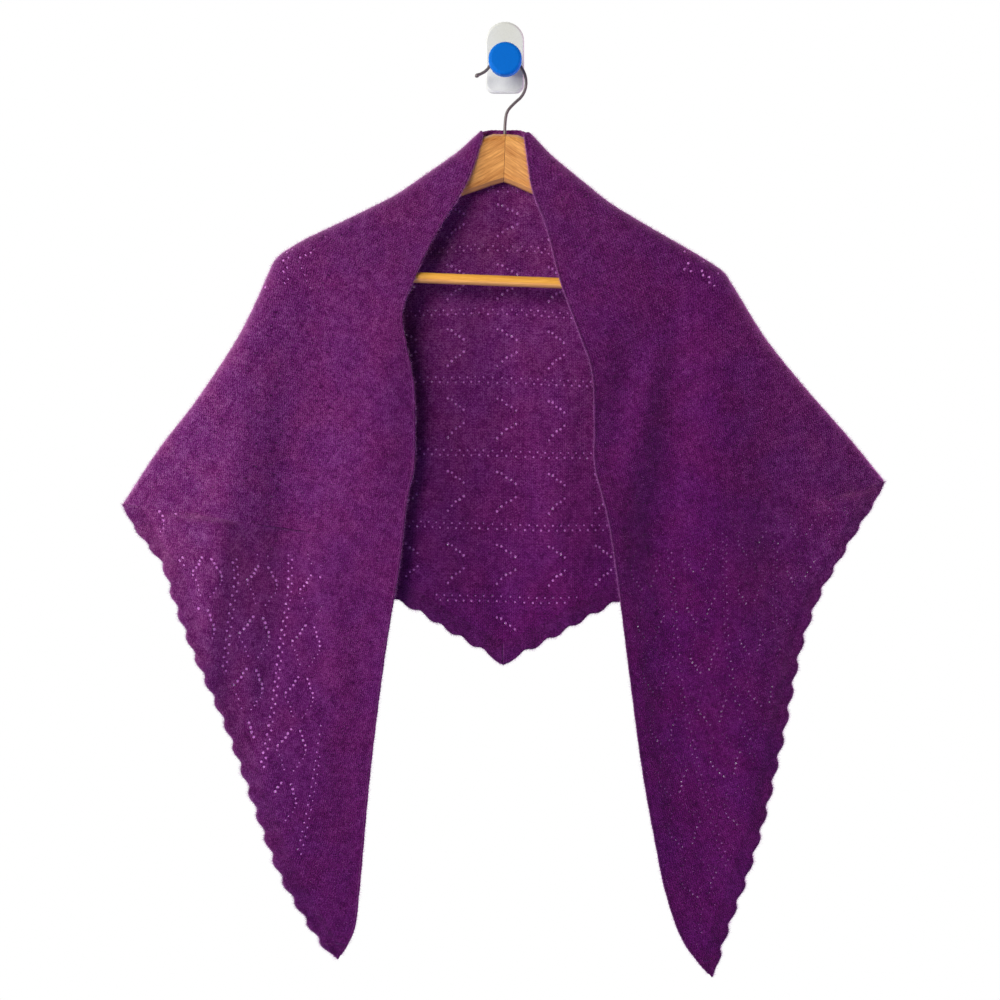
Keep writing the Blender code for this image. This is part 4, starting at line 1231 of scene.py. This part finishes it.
def wood_look(name, dark, light, slope):
    """Straight grain that runs along a piece which slopes by this angle."""
    look = Look(name, light, 0.34, Coat_Weight=0.12, Coat_Roughness=0.2)
    look.put(look.shader, "Specular IOR Level", 0.3)
    turned = look.add(
        "Mapping", "Vector", {"vector_type": "TEXTURE"}, Vector=look.place(),
        Rotation=(0.0, slope, 0.0), Scale=(16.0, 1.0, 1.0),
    )  # fmt: skip
    grain = look.noise(turned, 1.7 * MM, 4.0, 0.68)
    figure = look.noise(turned, 9 * MM)
    pores = look.noise(turned, 0.6 * MM)
    tone = look.weighted((figure, 0.25), (grain, 0.55), (pores, 0.20))
    middle = tuple(0.5 * (a + b) for a, b in zip(dark, light))
    colour = look.ramp(tone, (0.36, dark), (0.50, middle), (0.62, light))
    # Faces that look down get a plain darker brown: painted shade under the wood.
    facing = look.split(look.add("NewGeometry", "Normal"))
    low = {"From_Min": -0.45, "From_Max": -0.85}
    below = look.add("MapRange", "Result", Value=facing["Z"], **low)
    look.put(look.shader, "Base Color", look.mix(below, colour, (*UNDERSIDE_SHADE, 1.0)))
    look.bump(look.math("MULTIPLY_ADD", pores, 0.5, grain), 0.05 * MM, 0.6)
    return look.material


def wire_look():
    look = Look("satin_wire", (0.150, 0.125, 0.120), 0.5, Metallic=0.45)
    marks = look.noise(look.place(), 0.8 * MM, 3.0)
    look.put(look.shader, "Roughness", look.math("MULTIPLY_ADD", marks, 0.22, 0.40))
    look.bump(marks, 0.02 * MM, 0.5)
    return look.material


def plastic_look(name, colour, roughness, coat, grain):
    look = Look(name, colour, roughness, Coat_Weight=coat, Coat_Roughness=0.08)
    look.put(look.shader, "Specular IOR Level", 0.06)
    marks = look.noise(look.place(), 1.6 * MM, 3.0)
    shade = tuple(0.93 * c for c in colour)
    look.put(look.shader, "Base Color", look.ramp(marks, (0.3, shade), (0.7, colour)))
    look.put(look.shader, "Roughness", look.math("MULTIPLY_ADD", marks, 0.12, roughness))
    look.bump(marks, grain, 0.4)
    return look.material


# The shawl

knit = knit_look("brushed_lace_knit", STITCH, 2.1 * MM, 0.55 * MM)
# The back's yarn is a slightly lighter copy: painted light that offsets the shadow the
# fronts cast on it.
back_knit = knit_look("brushed_lace_back", STITCH, 2.1 * MM, 0.55 * MM, 1.04, BACK_PAINTED_LIGHT)
edging_knit = knit_look("edging_knit", 3.0 * MM, 2.0 * MM, 0.6 * MM, 0.92)
# The rolled edge is a lighter copy of the yarn: a painted highlight along the roll.
roll_knit = knit_look("rolled_edge_knit", 3.0 * MM, 2.0 * MM, 0.5 * MM, 1.15)
halo = fibre_look("mohair_halo", (0.24, 0.035, 0.23), (0.52, 0.170, 0.49))
# The ridge hairs are a paler copy of the mohair halo: painted rim glow along the folds.
rim_glow_halo = fibre_look("mohair_halo_pale", (0.52, 0.230, 0.48), (0.84, 0.500, 0.78))

fronts = {}
for side, word, above, chart, closed, size in (
    (LEFT, "left", left_chart, left_chart, closed_at_left, 1.0),
    (RIGHT, "right", right_upper_chart, right_chart, None, 0.64),
):
    upper = Fabric(side, front_upper_columns(side), front_knots, above, closed_above)
    lower = Fabric(side, front_lower_columns(side), front_knots, chart, closed, size)
    fronts[word] = (upper, lower)
halves = [
    Fabric(side, back_half_columns(side), back_knots, back_chart, eyelet_size=0.86)
    for side in (LEFT, RIGHT)
]
pieces = {
    "front_left": cloth_piece("shawl_front_left", fronts["left"], knit),
    "front_right": cloth_piece("shawl_front_right", fronts["right"], knit),
    "back": cloth_piece("shawl_back", halves, back_knit),
}
# Paler copies of the eyelet fibres stand in for the light that comes through the eyelets,
# which is painted light. The back's copy is dimmer and the right front's darker, which is
# painted shade.
lit_veil = fibre_look("eyelet_fibres_front", (0.42, 0.100, 0.41), (0.58, 0.200, 0.57))
half_shaded_veil = fibre_look("eyelet_fibres_back", (0.30, 0.060, 0.29), (0.46, 0.130, 0.44))
shaded_veil = fibre_look("eyelet_fibres_right", (0.15, 0.022, 0.145), (0.30, 0.070, 0.29))
for word, fabrics, look, strands, half_width in (
    ("left", fronts["left"], lit_veil, 12, 0.30 * MM),
    ("right", fronts["right"][1:], shaded_veil, 9, 0.24 * MM),
    ("above", fronts["right"][:1], lit_veil, 12, 0.30 * MM),
    ("back", halves, half_shaded_veil, 14, 0.30 * MM),
):
    name = "eyelet_fibres_" + word
    pieces["veil_" + word] = veil(name, fabrics, look, strands, half_width)
for side, word, half in ((LEFT, "left", halves[0]), (RIGHT, "right", halves[1])):
    pieces["edging_front_" + word] = edging(
        "scallops_front_" + word, side, front_stations(), fronts[word][1].columns[-1].u,
        front_knots, front_cloth, front_bands,
    )  # fmt: skip
    pieces["edging_back_" + word] = edging(
        "scallops_back_" + word, side, back_stations(), half.columns[-1].u,
        back_knots, back_cloth, back_bands,
    )  # fmt: skip
route = plain_edge_points()
pieces["rolled_edge"] = tube("rolled_edge", route, 1.3 * MM, 8, roll_knit, 0.2)


def line_out(side, place, us, run, inward):
    """Points on an edge, with the ways that lead out of the cloth there."""
    at_edge = place(side, us, run)
    return at_edge, at_edge - place(side, us, run + inward)


hairs = {"faces": [], "plain": [], "ridges": [], "hems": []}
for fabric, count in (
    (fronts["left"][0], 9500), (fronts["left"][1], 7500), (fronts["right"][0], 9500),
    (fronts["right"][1], 7500), (halves[0], 9500), (halves[1], 9500),
):  # fmt: skip
    hairs["faces"].append(surface_hairs(fabric, count))
for side in (LEFT, RIGHT):
    for us in (fold_us(), free_us()):
        edge = line_out(side, front_place, us, np.zeros(len(us)), 4 * MM)
        hairs["plain"].append(edge_hairs(*edge, 9000))
    us = NECK_HALF + np.linspace(0.0, 75.0, 60) * MM
    edge = line_out(side, front_place, us, np.zeros(len(us)), 4 * MM)
    hairs["plain"].append(edge_hairs(*edge, 2600, 0.8))
    us = fold_us()
    ridge = front_knots(side, us, front_cloth(side, us))
    hairs["ridges"].append(edge_hairs(*ridge, 16000, 0.7))
    for stations, place, cloth_of, count in (
        (front_stations(), front_place, front_cloth, 14000),
        (back_stations(), back_place, back_cloth, 10000),
    ):
        us, phases, fullness, swell = np.array(stations).T
        reach = cloth_of(side, us) + swell - 0.5 * MM
        reach += fullness * np.array([scallop(phase) for phase in phases])
        hairs["hems"].append(edge_hairs(*line_out(side, place, us, reach, -4 * MM), count))
for name, parts in hairs.items():
    material = rim_glow_halo if name == "ridges" else halo
    pieces["halo_" + name] = fibres("halo_" + name, *merged(parts), material)

# The hanger and the wall hook

ARM_SLOPE = math.radians(31.5)
# Each wood's dark and light grain
ARM_WOOD = ((0.42, 0.140, 0.026), (0.84, 0.42, 0.115))
BAR_WOOD = ((0.66, 0.28, 0.030), (0.92, 0.47, 0.075))
KEPT_LOOKS = {
    "hanger_arm_left": wood_look("wood_left", *ARM_WOOD, HANGER_TILT - ARM_SLOPE),
    "hanger_arm_right": wood_look("wood_right", *ARM_WOOD, HANGER_TILT + ARM_SLOPE),
    "trouser_bar": wood_look("wood_bar", *BAR_WOOD, HANGER_TILT),
    "wire_hook": wire_look(),
    "wall_plate": plastic_look("plate_plastic", (0.72, 0.74, 0.69), 0.45, 0.05, 0.05 * MM),
    "knob": plastic_look("knob_plastic", (0.0004, 0.142, 0.56), 0.45, 0.0, 0.02 * MM),
}
KEPT_LOOKS["peg"] = KEPT_LOOKS["wall_plate"]
for node, look in KEPT_LOOKS.items():
    kept = bpy.data.objects[node]
    kept.data.materials.clear()
    kept.data.materials.append(look)


# Along the wire and radius (mm)
BULB_PROFILE = (
    (-2.6, 0.0), (-2.2, 1.05), (-1.2, 1.75), (0.0, 2.1), (1.2, 1.8), (2.1, 1.3), (3.0, 1.1),
)  # fmt: skip
BULB_SIDES = 20


def wire_bulb():
    """The rounded bulb on the free end of the wire."""
    centre, aside = np.array([-27.4, -24.0, -24.6]) * MM, np.array([0.0, -1.0, 0.0])
    way = unit(np.array([0.80, 0.0, 0.60]))
    third = np.cross(way, aside)
    rings = []
    for along, radius in BULB_PROFILE:
        middle = centre + along * way * MM
        rings += ring_about(middle, aside, third, radius * MM, BULB_SIDES)
    faces = band_faces(len(BULB_PROFILE), BULB_SIDES)
    return add_piece("wire_bulb", np.array(rings), faces, KEPT_LOOKS["wire_hook"])


pieces["wire_bulb"] = wire_bulb()

# What each piece stands for

STANDS_FOR = {
    "front_left": ("shawl_left_front_upper", "shawl_left_front_lower"),
    "front_right": ("shawl_right_front_upper", "shawl_right_front_lower"),
    "back": ("shawl_back_left", "shawl_back_right"),
    "edging_front_left": ("edging_left_front",),
    "edging_front_right": ("edging_right_front",),
    "edging_back_left": ("edging_back_left",),
    "edging_back_right": ("edging_back_right",),
}
for name, piece in pieces.items():
    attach(piece, "root")
    if name in STANDS_FOR:
        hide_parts(*STANDS_FOR[name])
    if name == "wire_bulb":
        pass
    elif "edging" in name or name == "rolled_edge":
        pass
    else:
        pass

# Stage, light and camera

FLOOR_Z = -1.95
FLOOR_RADIUS = 2.2
# How far inside the radius and how far below the floor each ring of its rim lies.
FLOOR_RIM = ((0.0, 0.03), (0.02, 0.004), (0.06, 0.0))


def floor():
    """A pale round floor with a soft rim."""
    sides, east, north = 96, np.array([1.0, 0.0, 0.0]), np.array([0.0, 1.0, 0.0])
    points = []
    for inset, drop in FLOOR_RIM:
        centre = np.array([0.0, 0.0, FLOOR_Z - drop])
        points += ring_about(centre, east, north, FLOOR_RADIUS - inset, sides)
    faces = band_faces(len(FLOOR_RIM), sides)
    faces.append(list(range(len(points) - sides, len(points))))
    look = Look("pale_floor", (0.80, 0.80, 0.79), 0.85)
    marks = look.noise(look.place(), 0.4)
    shades = look.ramp(marks, (0.3, (0.77, 0.77, 0.76)), (0.7, (0.82, 0.82, 0.81)))
    look.put(look.shader, "Base Color", shades)
    return add_piece("floor", np.array(points), faces, look.material)


floor()


def light(name, place, target, size, power, colour):
    lamp = bpy.data.lights.new(name, "AREA")
    lamp.shape = "DISK"
    lamp.size = size
    lamp.energy = power
    lamp.color = colour
    lit = bpy.data.objects.new(name, lamp)
    lit.location = place
    way = np.array(target) - np.array(place)
    lit.rotation_mode = "QUATERNION"
    lit.rotation_quaternion = Vector(way.tolist()).to_track_quat("-Z", "Y")
    bpy.context.scene.collection.objects.link(lit)


MIDDLE = (0.0, -0.04, -0.42)
light("key", (-0.76, -1.48, 0.12), MIDDLE, 0.9, 20.5, (1.0, 0.97, 0.94))
light("side", (-1.78, -0.85, 0.1), MIDDLE, 0.8, 26.0, (1.0, 0.96, 0.95))
light("low", (-0.1, -1.3, -1.75), (0.0, -0.04, -0.85), 1.2, 12.0, (0.32, 0.34, 1.0))
# A low light from the right, level with the wall, so that the halo shows there too.
light("rim", (1.45, 0.16, -0.05), (0.27, -0.05, -0.33), 0.5, 16.0, (1.0, 0.55, 0.95))

WHITE, DIM = 1.0, 0.09
world = bpy.data.worlds.new("studio")
world.use_nodes = True
nodes, links = world.node_tree.nodes, world.node_tree.links
sky = nodes["Background"]
where = nodes.new("ShaderNodeTexCoord")
ways = nodes.new("ShaderNodeSeparateXYZ")
behind = nodes.new("ShaderNodeMapRange")
behind.interpolation_type = "SMOOTHSTEP"
for socket, value in zip((1, 2, 3, 4), (-0.12, 0.24, DIM, WHITE)):
    behind.inputs[socket].default_value = value
links.new(where.outputs["Generated"], ways.inputs[0])
links.new(ways.outputs["Y"], behind.inputs[0])
links.new(behind.outputs[0], sky.inputs["Strength"])
sky.inputs["Color"].default_value = (1.0, 1.0, 1.0, 1.0)
bpy.context.scene.world = world
bpy.context.scene.view_settings.view_transform = "Standard"

eye = bpy.data.cameras.new("camera")
eye.lens = 55.2
eye.sensor_width = 36.0
camera = bpy.data.objects.new("camera", eye)
camera.location = (-0.005, -1.530, -0.4415)
camera.rotation_euler = (math.radians(90), 0.0, 0.0)
bpy.context.scene.collection.objects.link(camera)
bpy.context.scene.camera = camera
